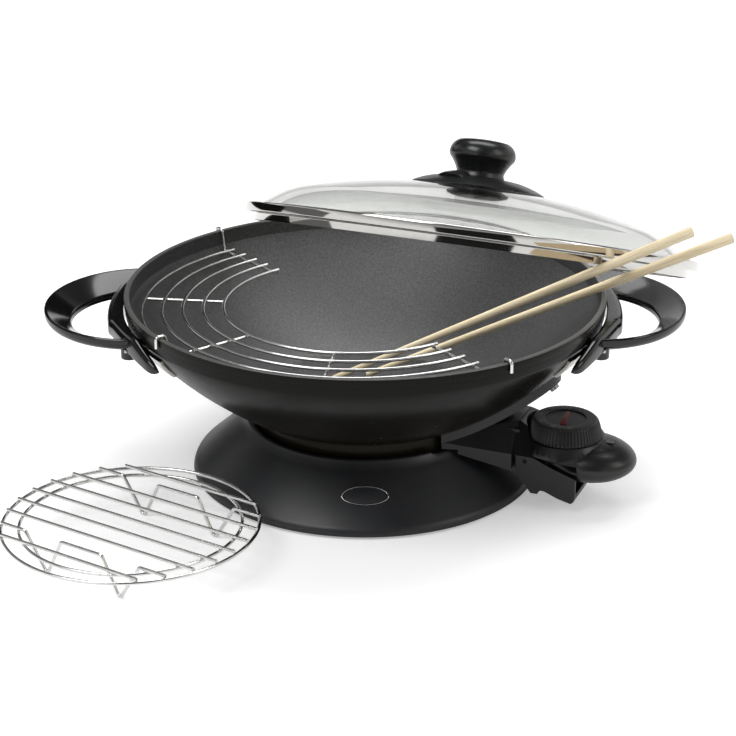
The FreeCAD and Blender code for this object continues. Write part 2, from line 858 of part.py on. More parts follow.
def handle_shape():
    """Right handle: a funnel-shaped loop on a bar that follows the rim."""
    centre = value("@handle_centre")
    outer = (centre, sizes.handle_reach, sizes.handle_half_width)
    inner = (centre, sizes.grip_reach, sizes.grip_half_width)
    lower = Part.makeLoft([ellipse_wire(*inner, sizes.grip_low),
                           ellipse_wire(*outer, sizes.handle_edge_low)], True, True)
    edge = Part.Face(ellipse_wire(*outer, sizes.handle_edge_low)).extrude(
        UP * (sizes.handle_edge_high - sizes.handle_edge_low))
    funnel = Part.makeLoft([ellipse_wire(*inner, sizes.grip_high),
                            ellipse_wire(*outer, sizes.handle_edge_high)], True, True)
    opening = Part.Face(ellipse_wire(*inner, sizes.stud_low)).extrude(UP * (sizes.rim_top - sizes.stud_low))
    bar_radius = sizes.rim_radius + sizes.bar_gap
    wok_room = Part.makeCylinder(bar_radius, sizes.rim_top)
    loop = lower.fuse(edge).cut([funnel, opening, wok_room])
    arm = sizes.arm_half_width
    side = [(-arm, sizes.arm_low), (-sizes.handle_half_width, sizes.bar_low),
            (sizes.handle_half_width, sizes.bar_low), (arm, sizes.arm_low),
            (arm, sizes.arm_high), (sizes.handle_half_width, sizes.bar_high),
            (-sizes.handle_half_width, sizes.bar_high), (-arm, sizes.arm_high)]
    across = Part.Face(Part.Wire(polyline([Vector(centre - sizes.handle_reach, y, z) for y, z in side])))
    rail = across.extrude(Vector(2 * sizes.handle_reach, 0, 0))
    tube = Part.makeCylinder(bar_radius + sizes.bar_thickness, sizes.rim_top).cut(wok_room)
    shape = loop.fuse(rail.common(tube))
    studs = []
    holes = []
    for y in (-sizes.stud_half_spacing, sizes.stud_half_spacing):
        foot = Vector(centre, y, sizes.stud_low)
        stud_height = sizes.tab_low - sizes.seat_gap - sizes.stud_low
        stud = Part.makeCylinder(sizes.stud_radius, stud_height, foot)
        studs.append(stud)
        holes.append(Part.makeCylinder(sizes.handle_screw_head + sizes.running_gap,
                                       sizes.handle_screw_head_height + sizes.handle_screw_sink, foot))
        holes.append(Part.makeCylinder(sizes.handle_screw_radius + sizes.running_gap,
                                       sizes.handle_hole_depth, foot))
        slot = tab_box(y, sizes.seat_gap)
        holes.append(slot)
    return shape.fuse(studs).cut(holes).removeSplitter()


def tab_box(y, margin):
    """Bracket tab at a stud, grown by a margin; it starts inside the bracket band."""
    start = bowl_radius_at(sizes.tab_low, sizes.seat_gap) + sizes.bracket_thickness / 2
    turn = math.degrees(math.atan2(y, value("@handle_centre")))
    tab = Part.makeBox(value("@tab_reach") - start + margin, 2 * (sizes.tab_half_width + margin),
                       sizes.bracket_thickness + 2 * margin,
                       Vector(start, -sizes.tab_half_width - margin, sizes.tab_low - margin))
    tab.rotate(ORIGIN, UP, turn)
    return tab


def bracket_shape():
    """Right bracket: a band under the rim that hugs the bowl, with a tab for each stud."""
    gap = sizes.seat_gap
    band = bowl_block(gap + sizes.bracket_thickness, sizes.rim_top).cut(
        bowl_block(gap, sizes.rim_top + sizes.rim_band))
    half = math.radians(sizes.bracket_half_turn)
    far = sizes.rim_radius + sizes.bar_thickness
    wedge = [Vector(0, 0, sizes.bracket_low),
             Vector(far, -far * math.tan(half), sizes.bracket_low),
             Vector(far, far * math.tan(half), sizes.bracket_low)]
    sector = Part.Face(Part.Wire(polyline(wedge))).extrude(
        UP * (sizes.bracket_high - sizes.bracket_low))
    shape = band.common(sector)
    for y in (-sizes.stud_half_spacing, sizes.stud_half_spacing):
        hole = Part.makeCylinder(sizes.handle_screw_radius + sizes.running_gap,
                                 sizes.rim_top, Vector(value("@handle_centre"), y, 0))
        shape = shape.fuse(tab_box(y, 0).cut([bowl_block(gap, sizes.rim_top + 1), hole]))
    return shape


def screw_up(x, y):
    """Screw that goes up through a stud into the bracket's tab."""
    foot = Vector(x, y, sizes.stud_low + sizes.handle_screw_sink)
    head = Part.makeCylinder(sizes.handle_screw_head, sizes.handle_screw_head_height, foot)
    top = sizes.tab_low + sizes.bracket_thickness
    start = foot + UP * sizes.handle_screw_head_height
    return head.fuse(Part.makeCylinder(sizes.handle_screw_radius, top - start.z, start))


def handles():
    """Both handles with their brackets and screws; the left ones are turned half round."""
    handle = handle_shape()
    bracket = bracket_shape()
    sides = {"right": Rotation(), "left": Rotation(UP, 180)}
    for side, turn in sides.items():
        keep(place(solid("handle", handle), ORIGIN, turn), "handle_" + side)
        keep(place(solid("bracket", bracket), ORIGIN, turn), "handle_bracket_" + side)
    screws = []
    for x in (-value("@handle_centre"), value("@handle_centre")):
        for y in (-sizes.stud_half_spacing, sizes.stud_half_spacing):
            screws.append(solid("stud_screw", screw_up(x, y)))
    keep(group("stud_screws", screws), "handle_screws")


# ---------------------------------------------------------------- heat control

def block_low():
    """Lower face of the contact block."""
    return sizes.shell_split


def control_form(inset):
    """Outer shape of the heat control, or its hollow when inset is the wall."""
    nose_start = sizes.seam + sizes.seam_gap + inset
    waist = section(sizes.waist_reach, sizes.waist_half_width - inset, sizes.waist_low + inset,
                    sizes.nose_shoulder - inset / 2, sizes.waist_high - inset,
                    sizes.waist_half_width - inset - sizes.waist_bevel)
    nose = Part.makeLoft([nose_section(nose_start, inset), waist], True, True)
    ball = Part.makeSphere(1)
    stretch = FreeCAD.Matrix()
    stretch.scale(sizes.pod_half_length - inset, sizes.pod_half_width - inset,
                  sizes.pod_half_height - inset)
    pod = ball.transformGeometry(stretch)
    pod.translate(Vector(sizes.pod_reach, 0, sizes.pod_middle))
    collar = Part.makeCone(sizes.collar_radius - inset, sizes.collar_top_radius - inset,
                           sizes.collar_top - sizes.collar_low,
                           Vector(sizes.dial_reach, 0, sizes.collar_low - inset))
    form = nose.fuse([pod, collar])
    cuts = [Part.makeCylinder(sizes.dial_radius + sizes.dial_room + inset, sizes.dial_top,
                              Vector(sizes.dial_reach, 0, sizes.collar_top - inset)),
            Part.makeBox(sizes.seam, 4 * sizes.pod_half_width, sizes.rim_top,
                         Vector(nose_start - sizes.seam, -2 * sizes.pod_half_width, 0))]
    for side in (-1, 1):
        inner = sizes.slim_half_width - inset
        corner = Vector(sizes.seam - 5, inner if side > 0 else -inner - 30, 0)
        cuts.append(Part.makeBox(sizes.slim_reach + inset - sizes.seam + 5, 30,
                                 sizes.slim_top + inset, corner))
    return form.cut(cuts)


def shell_screw_spots():
    """Places of the four screws that hold the shells together."""
    near = sizes.shell_screw_near
    far = sizes.shell_screw_far
    return [(near, -sizes.shell_screw_near_half), (near, sizes.shell_screw_near_half),
            (far, -sizes.shell_screw_far_half), (far, sizes.shell_screw_far_half)]


def lens_height():
    """Height of the pod's top at the lamp."""
    share = (sizes.lens_reach - sizes.pod_reach) / sizes.pod_half_length
    return sizes.pod_middle + sizes.pod_half_height * math.sqrt(1 - share ** 2)


def control_shells():
    """Lower and upper shell of the heat control, with bosses and openings."""
    form = control_form(0)
    hollow = control_form(sizes.shell_wall)
    bosses = []
    holes = []
    low = sizes.shell_screw_low
    for x, y in shell_screw_spots():
        bosses.append(Part.makeCylinder(sizes.shell_boss_radius, sizes.collar_top, Vector(x, y, 0)))
        holes.append(Part.makeCylinder(sizes.screw_radius + sizes.running_gap,
                                       sizes.shell_screw_top - low, Vector(x, y, low)))
        holes.append(Part.makeCylinder(sizes.screw_head_radius + sizes.running_gap,
                                       low + sizes.screw_head_height, Vector(x, y, 0)))
    hollow = hollow.cut(bosses)
    window_start = sizes.seam - 1
    holes.append(Part.makeBox(sizes.block_end - window_start, 2 * sizes.block_half_width,
                              sizes.block_height,
                              Vector(window_start, -sizes.block_half_width, block_low())))
    holes.append(Part.makeCylinder(sizes.probe_radius + sizes.running_gap,
                                   sizes.switch_start - window_start,
                                   Vector(window_start, 0, probe_height()), Vector(1, 0, 0)))
    holes.append(Part.makeCylinder(sizes.spindle_radius + sizes.running_gap, sizes.collar_top,
                                   Vector(sizes.dial_reach, 0, sizes.switch_high)))
    holes.append(Part.makeCylinder(sizes.lens_radius + sizes.running_gap, 20,
                                   Vector(sizes.lens_reach, 0, sizes.pod_middle)))
    holes.append(Part.makeCylinder(sizes.gland_radius + sizes.running_gap, sizes.gland_end,
                                   Vector(sizes.gland_reach, 0, sizes.gland_height),
                                   Vector(0, 1, 0)))
    holes.append(Part.makeCylinder(sizes.pivot_radius + sizes.running_gap,
                                   4 * sizes.lever_half_width,
                                   Vector(sizes.pivot_reach, -2 * sizes.lever_half_width,
                                          sizes.pivot_height), Vector(0, 1, 0)))
    walls = form.cut([hollow] + holes)
    reach = sizes.pod_reach + sizes.pod_half_length
    half = Part.makeBox(reach, 2 * reach, sizes.shell_split, Vector(sizes.seam - 1, -reach, 0))
    turn = control_rotation()
    keep(place(solid("lower_shell", walls.common(half)), ORIGIN, turn), "controller_lower_shell")
    keep(place(solid("upper_shell", walls.cut(half)), ORIGIN, turn), "controller_upper_shell")


def control_inner_pieces():
    """Contact block, contacts, probe, switch, lamp lens, gland, screws, pivot pin and spring."""
    turn = control_rotation()
    outward = Vector(1, 0, 0)
    spread = sizes.element_leg_spread
    block = box("block_blank", ("@block_start", "-@block_half_width", "@shell_split"),
                ("@block_end", "@block_half_width", "@shell_split + @block_height"))
    bores = [cylinder("probe_bore", "@probe_radius + @running_gap", "@block_end - @block_start",
                      Vector(sizes.block_start, 0, probe_height()), outward)]
    contacts = []
    for side in (-1, 1):
        start = Vector(sizes.block_start, side * spread, element_height())
        length = "@contact_end - @block_start"
        bores.append(cylinder("contact_bore",
                              "@pin_radius + @running_gap + @contact_wall + @running_gap",
                              length, start, outward))
        sleeve = cylinder("contact_outside", "@pin_radius + @running_gap + @contact_wall",
                          length, start, outward)
        bore = cylinder("contact_inside", "@pin_radius + @running_gap", length, start, outward)
        contacts.append(cut("contact", sleeve, [bore]))
    keep(place(cut("block", block, bores), ORIGIN, turn), "contact_block")
    keep(place(group("contacts", contacts), ORIGIN, turn), "contact_sleeves")
    keep(cylinder("probe", "@probe_radius", "@switch_start - @probe_start",
                  turn.multVec(Vector(sizes.probe_start, 0, probe_height())),
                  turn.multVec(outward)), "probe_rod")
    keep(box("switch", ("@switch_start", "-@switch_half_width", "@switch_low"),
             ("@switch_end", "@switch_half_width", "@switch_high"), turn), "thermostat_switch")
    keep(cylinder("lens", "@lens_radius", "@shell_wall + @lens_stand",
                  turn.multVec(Vector(sizes.lens_reach, 0, lens_height() - sizes.shell_wall))),
         "indicator_lens")
    wall_face = pod_side()
    root = sizes.slim_half_width - sizes.gland_root
    neck = Part.makeCylinder(sizes.gland_radius, wall_face - root,
                             Vector(sizes.gland_reach, root, sizes.gland_height), Vector(0, 1, 0))
    collar = Part.makeCylinder(sizes.gland_radius + sizes.gland_collar, sizes.gland_collar_width,
                               Vector(sizes.gland_reach, wall_face, sizes.gland_height),
                               Vector(0, 1, 0))
    boot_start = wall_face + sizes.gland_collar_width
    boot = Part.makeCone(sizes.gland_radius + sizes.gland_boot_swell,
                         sizes.gland_radius - sizes.gland_boot_taper, sizes.gland_end - boot_start,
                         Vector(sizes.gland_reach, boot_start, sizes.gland_height), Vector(0, 1, 0))
    bore = Part.makeCylinder(sizes.gland_bore, 2 * sizes.gland_end,
                             Vector(sizes.gland_reach, 0, sizes.gland_height), Vector(0, 1, 0))
    gland = solid("gland", neck.fuse([collar, boot]).cut(bore))
    keep(place(gland, ORIGIN, turn), "cord_gland")
    screws = []
    for x, y in shell_screw_spots():
        start = Vector(x, y, sizes.shell_screw_low)
        head = Part.makeCylinder(sizes.screw_head_radius, sizes.screw_head_height, start)
        shank = Part.makeCylinder(sizes.screw_radius, sizes.shell_screw_top - start.z - 1, start)
        screws.append(solid("shell_screw", head.fuse(shank)))
    keep(place(group("screws", screws), ORIGIN, turn), "shell_screws")
    pin_start = Vector(sizes.pivot_reach, -sizes.lever_half_width, sizes.pivot_height)
    keep(cylinder("pivot", "@pivot_radius", "2 * @lever_half_width", turn.multVec(pin_start),
                  turn.multVec(Vector(0, 1, 0))), "ejector_pin")
    spring_start = Vector(sizes.pivot_reach, -sizes.spring_half_length, sizes.pivot_height)
    coil = cylinder("coil_outside", "@spring_radius", "2 * @spring_half_length",
                    turn.multVec(spring_start), turn.multVec(Vector(0, 1, 0)))
    coil_bore = cylinder("coil_bore", "@pivot_radius + @running_gap", "2 * @spring_half_length",
                         turn.multVec(spring_start), turn.multVec(Vector(0, 1, 0)))
    keep(cut("coil", coil, [coil_bore]), "ejector_spring")


def pod_side():
    """Distance from the control's middle to a plane just outside the pod's side at the gland."""
    near = sizes.gland_reach - sizes.gland_radius - sizes.gland_collar
    share = (near - sizes.pod_reach) / sizes.pod_half_length
    return sizes.pod_half_width * math.sqrt(1 - share ** 2) + sizes.running_gap


def dial():
    """Dial with a hollow underside, and its spindle."""
    spot = polar(sizes.dial_reach, sizes.control_turn)
    low = "@collar_top + @dial_gap"
    knob = lathe("dial_turned", [
        ("@spindle_radius + @running_gap / 2", "@spindle_top + @running_gap"),
        ("@spindle_radius + @running_gap / 2", low),
        ("@hub_radius", low),
        ("@hub_radius", "@dial_top - @dial_skin"),
        ("@dial_top_radius - @dial_skin / 2", "@dial_top - @dial_skin"),
        ("@dial_radius - @dial_skin", low),
        ("@dial_radius", low),
        ("@dial_top_radius + @dial_edge_step", "@dial_top - @dial_edge_rise"),
        ("@dial_top_radius - @dial_edge_inset", "@dial_top", "left", "@dial_edge_round"),
        ("@dial_ring_radius", "@dial_top"),
        ("@dial_ring_radius", "@dial_top - @dial_ring_depth"),
        ("0", "@dial_top - @dial_ring_depth"),
        ("0", "@spindle_top + @running_gap"),
    ])
    keep(place(knob, spot, control_rotation()), "dial_knob")
    start = polar(sizes.dial_reach, sizes.control_turn, value("@switch_high + @running_gap"))
    keep(cylinder("spindle", "@spindle_radius", "@spindle_top - @switch_high - @running_gap", start),
         "dial_spindle")


def ejector_lever():
    """U-shaped lever under the heat control that pushes it off the wok."""
    half = sizes.lever_half_width
    profile = Part.Face(Part.Wire(polyline([Vector(x, -half, z) for x, z in LEVER_SIDE])))
    blank = profile.extrude(Vector(0, 2 * half, 0))
    inner_half = half - sizes.lever_cheek
    inner = Part.Face(Part.Wire(polyline([Vector(x, -inner_half, z) for x, z in LEVER_SIDE])))
    hollow = inner.extrude(Vector(0, 2 * inner_half, 0))
    hollow.translate(UP * sizes.lever_web)
    mouth = Part.makeBox(sizes.pivot_reach - sizes.lever_mouth - sizes.seam, 2 * inner_half,
                         sizes.pivot_height, Vector(sizes.seam, -inner_half, sizes.foot_height))
    top = Part.makeBox(sizes.lever_length, 2 * inner_half, sizes.pivot_height,
                       Vector(sizes.seam, -inner_half, sizes.lever_web_top))
    bore = Part.makeCylinder(sizes.pivot_radius + sizes.running_gap, 2 * half,
                             Vector(sizes.pivot_reach, -half, sizes.pivot_height), Vector(0, 1, 0))
    lever = solid("lever", blank.cut([hollow, mouth, top, bore]))
    keep(place(lever, ORIGIN, control_rotation()), "ejector_lever")


# ---------------------------------------------------------------- lid

def lid_placement():
    """Pose of the lid: tilted back, its skirt one seat gap above the far side of the rim."""
    tilt = Rotation(polar(1, sizes.lid_turn + 90), sizes.lid_tilt)
    touch = polar(sizes.rim_radius, sizes.lean_turn, sizes.rim_top + sizes.seat_gap)
    on_lid = polar(value("@shoulder_radius - @pan_wall - @skirt_gap"), sizes.lean_turn_on_lid,
                   -sizes.skirt_depth)
    return Placement(touch - tilt.multVec(on_lid), tilt)


def lid():
    """Glass lid with its steel ring and its knob, all drawn about the lid's own axis."""
    seat = lid_placement()
    ring_radius = "@rim_radius + @lid_overhang"
    skirt_radius = "@shoulder_radius - @pan_wall - @skirt_gap"
    band_top = "-@ring_sheet - @glass_top_gap"
    band_low = "-@ring_sheet - @glass_top_gap - @glass_thickness"
    ring = lathe("ring", [
        ("@ring_lip_radius", "0"),
        ("@ring_lip_radius", "-@ring_sheet"),
        (ring_radius + " - @ring_sheet", "-@ring_sheet"),
        (ring_radius + " - @ring_sheet", "-@ring_height + @ring_sheet"),
        (skirt_radius + " - @ring_sheet", "-@ring_height + @ring_sheet"),
        (skirt_radius + " - @ring_sheet", "-@skirt_depth"),
        (skirt_radius, "-@skirt_depth"),
        (skirt_radius, "-@ring_height"),
        (ring_radius, "-@ring_height"),
        (ring_radius, "0"),
    ])
    glass_edge = ring_radius + " - @ring_sheet - @seat_gap"
    glass = lathe("glass", [
        ("@glass_bore", "@dome_height - @glass_thickness"),
        ("@knee_radius - @glass_step", "@knee_height - @glass_thickness", "right",
         "@dome_arc - @glass_thickness"),
        ("@ring_lip_radius - @glass_thickness - @glass_lip_step", band_low, "right", "@knee_arc"),
        (glass_edge, band_low),
        (glass_edge, band_top),
        ("@ring_lip_radius - @glass_lip_gap", band_top),
        ("@knee_radius", "@knee_height", "left", "@knee_arc"),
        ("@glass_bore", "@dome_height", "left", "@dome_arc"),
    ])
    screw_bore = "@knob_screw_radius + @seat_gap"
    washer = lathe("washer", [
        (screw_bore, "@washer_low"),
        ("@washer_radius", "@washer_low"),
        ("@washer_radius", "@dome_height - @glass_thickness - @washer_seat"),
        (screw_bore, "@dome_height - @glass_thickness - @washer_seat"),
    ])
    cup = lathe("cup", [
        (screw_bore, "@cup_low"),
        ("@cup_radius - @cup_sheet", "@cup_low"),
        ("@cup_radius", "@cup_low + @cup_sheet", "left", "@cup_sheet"),
        ("@cup_radius", "@washer_low"),
        ("@cup_radius - @cup_sheet", "@washer_low"),
        ("@cup_radius - @cup_sheet", "@cup_low + @cup_sheet"),
        (screw_bore, "@cup_low + @cup_sheet"),
    ])
    rim_height = "@dome_height - @dome_arc + sqrt(@dome_arc ^ 2 - @knob_skirt_radius ^ 2) + @seat_gap"
    skirt = lathe("skirt_plate", [
        (screw_bore, "@dome_height + @seat_gap"),
        ("@hub_radius + 2", "@dome_height + @seat_gap"),
        ("@hub_radius + 2", "@knob_skirt_high - @knob_skirt_wall"),
        ("@neck_radius", "@knob_skirt_high - @knob_skirt_wall"),
        ("@knob_skirt_radius - @knob_skirt_wall", rim_height, "right", "@knob_skirt_arc"),
        ("@knob_skirt_radius", rim_height),
        ("@neck_radius + 1", "@knob_skirt_high", "left", "@knob_skirt_arc"),
        (screw_bore, "@knob_skirt_high"),
    ])
    insert_bore = "@insert_radius + @running_gap / 2"
    knob = lathe("knob", [
        (insert_bore, "@knob_skirt_high"),
        ("@neck_radius", "@knob_skirt_high"),
        ("@knob_waist_radius", "@knob_waist"),
        ("@knob_radius", "@knob_edge", "right", "@knob_radius - @knob_waist_radius + @knob_waist_arc"),
        ("@knob_top_radius", "@knob_top_edge", "left", "@knob_top_edge - @knob_edge"),
        ("0", "@knob_top"),
        ("0", "@insert_high"),
        (insert_bore, "@insert_high"),
    ])
    insert = lathe("insert", [
        ("@knob_screw_radius + @running_gap", "@insert_low"),
        ("@insert_radius", "@insert_low"),
        ("@insert_radius", "@insert_high"),
        ("@knob_screw_radius + @running_gap", "@insert_high"),
    ])
    screw = lathe("lid_screw", [
        ("0", "@cup_low - @knob_screw_head_drop"),
        ("@knob_screw_head - @knob_screw_head_flat", "@cup_low - @knob_screw_head_drop"),
        ("@knob_screw_head", "@cup_low - @knob_screw_head_edge", "left", "@knob_screw_head_round"),
        ("@knob_screw_head", "@cup_low"),
        ("@knob_screw_radius", "@cup_low"),
        ("@knob_screw_radius", "@knob_screw_end"),
        ("0", "@knob_screw_end"),
    ])
    names = {"lid_ring": ring, "lid_glass": glass, "lid_washer": washer, "lid_cup": cup,
             "knob_skirt": skirt, "lid_knob": knob, "knob_insert": insert, "knob_screw": screw}
    for name, body in names.items():
        body.Placement = seat
        keep(body, name)


# ---------------------------------------------------------------- racks

def rack_reach(direction, radius):
    """Distance from the tempura rack's centre, along a direction, to a radius about the wok."""
    centre = Vector(sizes.rack_centre_x, 0, 0)
    along = -centre.dot(direction)
    return along + math.sqrt(along ** 2 - centre.dot(centre) + radius ** 2)


def tempura_rack():
    """Half-moon rack: five arcs on five bars, with three hooks over the rim."""
    wire = sizes.rack_wire
    centre = Vector(sizes.rack_centre_x, 0, sizes.rack_height)
    bar_drop = 2 * wire - sizes.weld_depth
    bar_centre = centre - UP * bar_drop
    half_turn = 2 * sizes.rack_step_turn
    pieces = []
    outer = sizes.rack_inner_arc + 4 * sizes.rack_pitch
    for step in range(5):
        radius = sizes.rack_inner_arc + step * sizes.rack_pitch
        pieces.append(wire_arc(centre, radius, wire,
                               sizes.rack_turn - half_turn - sizes.rack_over_run,
                               2 * (half_turn + sizes.rack_over_run)))
    for step in range(-2, 3):
        direction = polar(1, sizes.rack_turn + step * sizes.rack_step_turn)
        start = bar_centre + direction * (sizes.rack_inner_arc - wire)
        if step in (-1, 1):
            pieces.append(rod(start, bar_centre + direction * (outer + wire), wire))
            continue
        inner_wall = value("@shoulder_radius") - sizes.pan_wall
        level = Vector(sizes.rack_centre_x, 0, 0)
        over_rim = sizes.rim_top + sizes.seat_gap + wire
        inner_leg = rack_reach(direction, inner_wall - sizes.seat_gap - wire)
        outer_leg = rack_reach(direction, sizes.rim_radius + sizes.seat_gap + wire)
        foot = rack_reach(direction, inner_wall - 4 * wire)
        points = [start,
                  level + direction * foot + UP * bar_centre.z,
                  level + direction * inner_leg + UP * over_rim,
                  level + direction * outer_leg + UP * over_rim,
                  level + direction * outer_leg + UP * (over_rim - sizes.hook_drop)]
        pieces.append(bent_wire(points, sizes.hook_bend, wire))
    rack = pieces[0].fuse(pieces[1:])
    keep(solid("tempura", rack), "tempura_rack")


def toe_corner():
    """Height of the corner point of a toe whose rounded end touches the table."""
    top = steam_bar_height()
    corner = sizes.steam_wire
    for _ in range(20):
        outer = math.atan2(sizes.toe_outer_bend - sizes.toe_along, top - corner)
        inner = math.atan2(sizes.toe_along - sizes.toe_inner_bend, top - corner)
        half = (outer + inner) / 2
        lean = (outer - inner) / 2
        corner = sizes.steam_wire - sizes.toe_round * (math.cos(lean) / math.sin(half) - 1)
    return corner


def steam_bar_height():
    """Height of the steaming rack's bars, which lie on its rings."""
    return sizes.steam_height + 2 * sizes.steam_wire + sizes.steam_gap


def steam_rack():
    """Round steaming rack: two rings, seven straight bars and two bars that are bent into feet."""
    wire = sizes.steam_wire
    turn = Rotation(UP, sizes.steam_turn)
    spot = Vector(sizes.steam_x, sizes.steam_y, 0)
    rings = []
    for name, radius in (("outer_ring", "@steam_ring"), ("inner_ring", "@steam_inner_ring")):
        ring = bind(document.addObject("Part::Torus", name), Radius1=radius, Radius2="@steam_wire")
        rings.append(place(ring, Vector(0, 0, sizes.steam_height)))
    keep(place(group("steam_rings", rings), spot, turn), "steam_rack_rings")
    height = steam_bar_height()
    leg_row = 3 * sizes.steam_bar_pitch
    offsets = [step * sizes.steam_bar_pitch for step in range(-2, 3)]
    offsets += [-sizes.steam_outer_bar, sizes.steam_outer_bar]
    bars = []
    for across in offsets:
        half = math.sqrt(sizes.steam_ring ** 2 - across ** 2)
        bar = rod(Vector(-half, across, height), Vector(half, across, height), wire)
        bars.append(solid("steam_bar", bar))
    keep(place(group("steam_bars", bars), spot, turn), "steam_rack_bars")
    toe = toe_corner()
    end = math.sqrt(sizes.steam_ring ** 2 - leg_row ** 2)
    along = [(-end, height), (-sizes.toe_outer_bend, height), (-sizes.toe_along, toe),
             (-sizes.toe_inner_bend, height), (sizes.toe_inner_bend, height),
             (sizes.toe_along, toe), (sizes.toe_outer_bend, height), (end, height)]
    for name, across in (("front", -leg_row), ("back", leg_row)):
        points = [Vector(x, across, z) for x, z in along]
        row = solid("leg_row", bent_wire(points, sizes.toe_round, wire))
        keep(place(row, spot, turn), "steam_rack_legs_" + name)


# ---------------------------------------------------------------- chopsticks

def stick(name, tip, corner, edge, side):
    """Chopstick from its tip past a corner that it rests on, above (1) or below (-1) it."""
    gap = sizes.seat_gap
    share = (corner - tip).Length / sizes.stick_length
    radius = sizes.stick_tip_radius + share * (sizes.stick_end_radius - sizes.stick_tip_radius)
    away = (corner - tip).cross(edge).normalize()
    if away.z * side < 0:
        away = away.negative()
    direction = (corner + away * (radius + gap) - tip).normalize()
    item = bind(document.addObject("Part::Cone", name), Radius1="@stick_tip_radius",
                Radius2="@stick_end_radius", Height="@stick_length")
    keep(place(item, tip, Rotation(UP, direction)), name)


def chopsticks():
    """Two chopsticks that stand on the wok's floor; one leans under the lid's skirt, one on the rim."""
    floor = value("@floor_height + @pan_wall + @stick_tip_radius + @seat_gap")
    seat = lid_placement()
    skirt = polar(value("@shoulder_radius - @pan_wall - @skirt_gap"), sizes.first_lean_turn,
                  -sizes.skirt_depth)
    skirt_edge = seat.Rotation.multVec(polar(1, sizes.first_lean_turn + 90))
    stick("chopstick_1", Vector(sizes.first_tip_x, sizes.first_tip_y, floor), seat.multVec(skirt),
          skirt_edge, -1)
    rim = polar(value("@shoulder_radius - @pan_wall"), sizes.second_lean_turn, sizes.rim_top)
    stick("chopstick_2", Vector(sizes.second_tip_x, sizes.second_tip_y, floor), rim,
          polar(1, sizes.second_lean_turn + 90), 1)


# ---------------------------------------------------------------- build, check and write

def build():
    """Make every sub-part."""
    base_shell()
    base_pieces()
    wok_pan()
    underside_pieces()
    terminal_guard()
    handles()
    control_shells()
    control_inner_pieces()
    dial()
    ejector_lever()
    lid()
    tempura_rack()
    steam_rack()
    chopsticks()
    document.recompute()


def check():
    """Stop if any object failed or any sub-part has no valid solid."""
    for item in document.Objects:
        if "Invalid" in item.State or "Error" in item.State:
            raise RuntimeError("%s failed: %s" % (item.Label, item.State))
    for name, item in nodes.items():
        shape = item.Shape
        if shape.isNull() or not shape.isValid() or not shape.Solids:
            raise RuntimeError("%s has no valid solid" % name)


def write():
    """Write each sub-part to its own STEP file."""
    os.makedirs("parts", exist_ok=True)
    for name, item in nodes.items():
        item.Shape.exportStep(os.path.join("parts", name + ".step"))
        print("%-24s solids %d  volume %.1f" % (name, len(item.Shape.Solids), item.Shape.Volume))


build()
check()
write()
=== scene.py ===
"""Electric wok with its glass lid, racks, chopsticks and heat control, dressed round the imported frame.

Sizes in the classes are millimetres and degrees, and meshes become metres when they are finished.
Only the studio's lamps and cards are placed in metres.
"""

import json
import logging
import math
from collections.abc import Sequence
from dataclasses import dataclass
from enum import Enum
from functools import cache
from typing import ClassVar

import bmesh
import bpy
from mathutils import Matrix, Vector


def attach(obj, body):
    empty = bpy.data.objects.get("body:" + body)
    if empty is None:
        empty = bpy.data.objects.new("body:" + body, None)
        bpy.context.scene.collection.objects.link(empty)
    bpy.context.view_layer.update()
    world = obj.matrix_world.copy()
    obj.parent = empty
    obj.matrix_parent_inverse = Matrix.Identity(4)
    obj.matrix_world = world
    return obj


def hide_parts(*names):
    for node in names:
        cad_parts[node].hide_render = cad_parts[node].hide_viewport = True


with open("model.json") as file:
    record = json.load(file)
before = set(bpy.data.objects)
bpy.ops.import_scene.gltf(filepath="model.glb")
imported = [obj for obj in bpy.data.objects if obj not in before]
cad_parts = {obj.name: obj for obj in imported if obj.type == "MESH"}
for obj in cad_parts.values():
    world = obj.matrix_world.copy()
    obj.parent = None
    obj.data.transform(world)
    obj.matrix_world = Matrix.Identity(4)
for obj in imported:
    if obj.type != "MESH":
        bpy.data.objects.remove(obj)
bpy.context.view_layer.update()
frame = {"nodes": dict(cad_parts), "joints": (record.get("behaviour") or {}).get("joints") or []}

LOG = logging.getLogger("wok")
MILLIMETRE = 0.001
MERGE = 0.0005
UP = Vector((0, 0, 1))
WHITE = (1, 1, 1, 1)
ROUND = 256

BMesh = bmesh.types.BMesh
BMFace = bmesh.types.BMFace
BMVert = bmesh.types.BMVert
Material = bpy.types.Material
Node = bpy.types.Node
Object = bpy.types.Object
Socket = bpy.types.NodeSocket
Tree = bpy.types.NodeTree


# ---------------------------------------------------------------- colour and shader nodes

def hex_colour(code: str) -> tuple[float, float, float, float]:
    """Turn an sRGB hex colour into the linear colour that shaders take.

    Args:
        code: six hex digits.

    Returns:
        Linear red, green, blue and an alpha of 1.
    """
    channels = [int(code[start:start + 2], 16) / 255 for start in (0, 2, 4)]
    linear = [c / 12.92 if c <= 0.04045 else ((c + 0.055) / 1.055) ** 2.4 for c in channels]
    return linear[0], linear[1], linear[2], 1.0


def per_metre(size: float) -> float:
    """Return the texture scale whose pattern repeats at a size in millimetres."""
    return 1 / (size * MILLIMETRE)


def add_node(tree: Tree, kind: str, settings: dict | None = None, links: dict | None = None) -> Node:
    """Add a shader node with its settings and links.

    Args:
        tree: node tree that gets the node.
        kind: Blender's name of the node type.
        settings: values by property name, socket name or socket number.
        links: output sockets by the name or number of the input they feed.

    Returns:
        The new node.
    """
    node = tree.nodes.new(kind)
    for key, value in (settings or {}).items():
        if isinstance(key, str) and hasattr(node, key):
            setattr(node, key, value)
        else:
            node.inputs[key].default_value = value
    for key, source in (links or {}).items():
        tree.links.new(source, node.inputs[key])
    return node


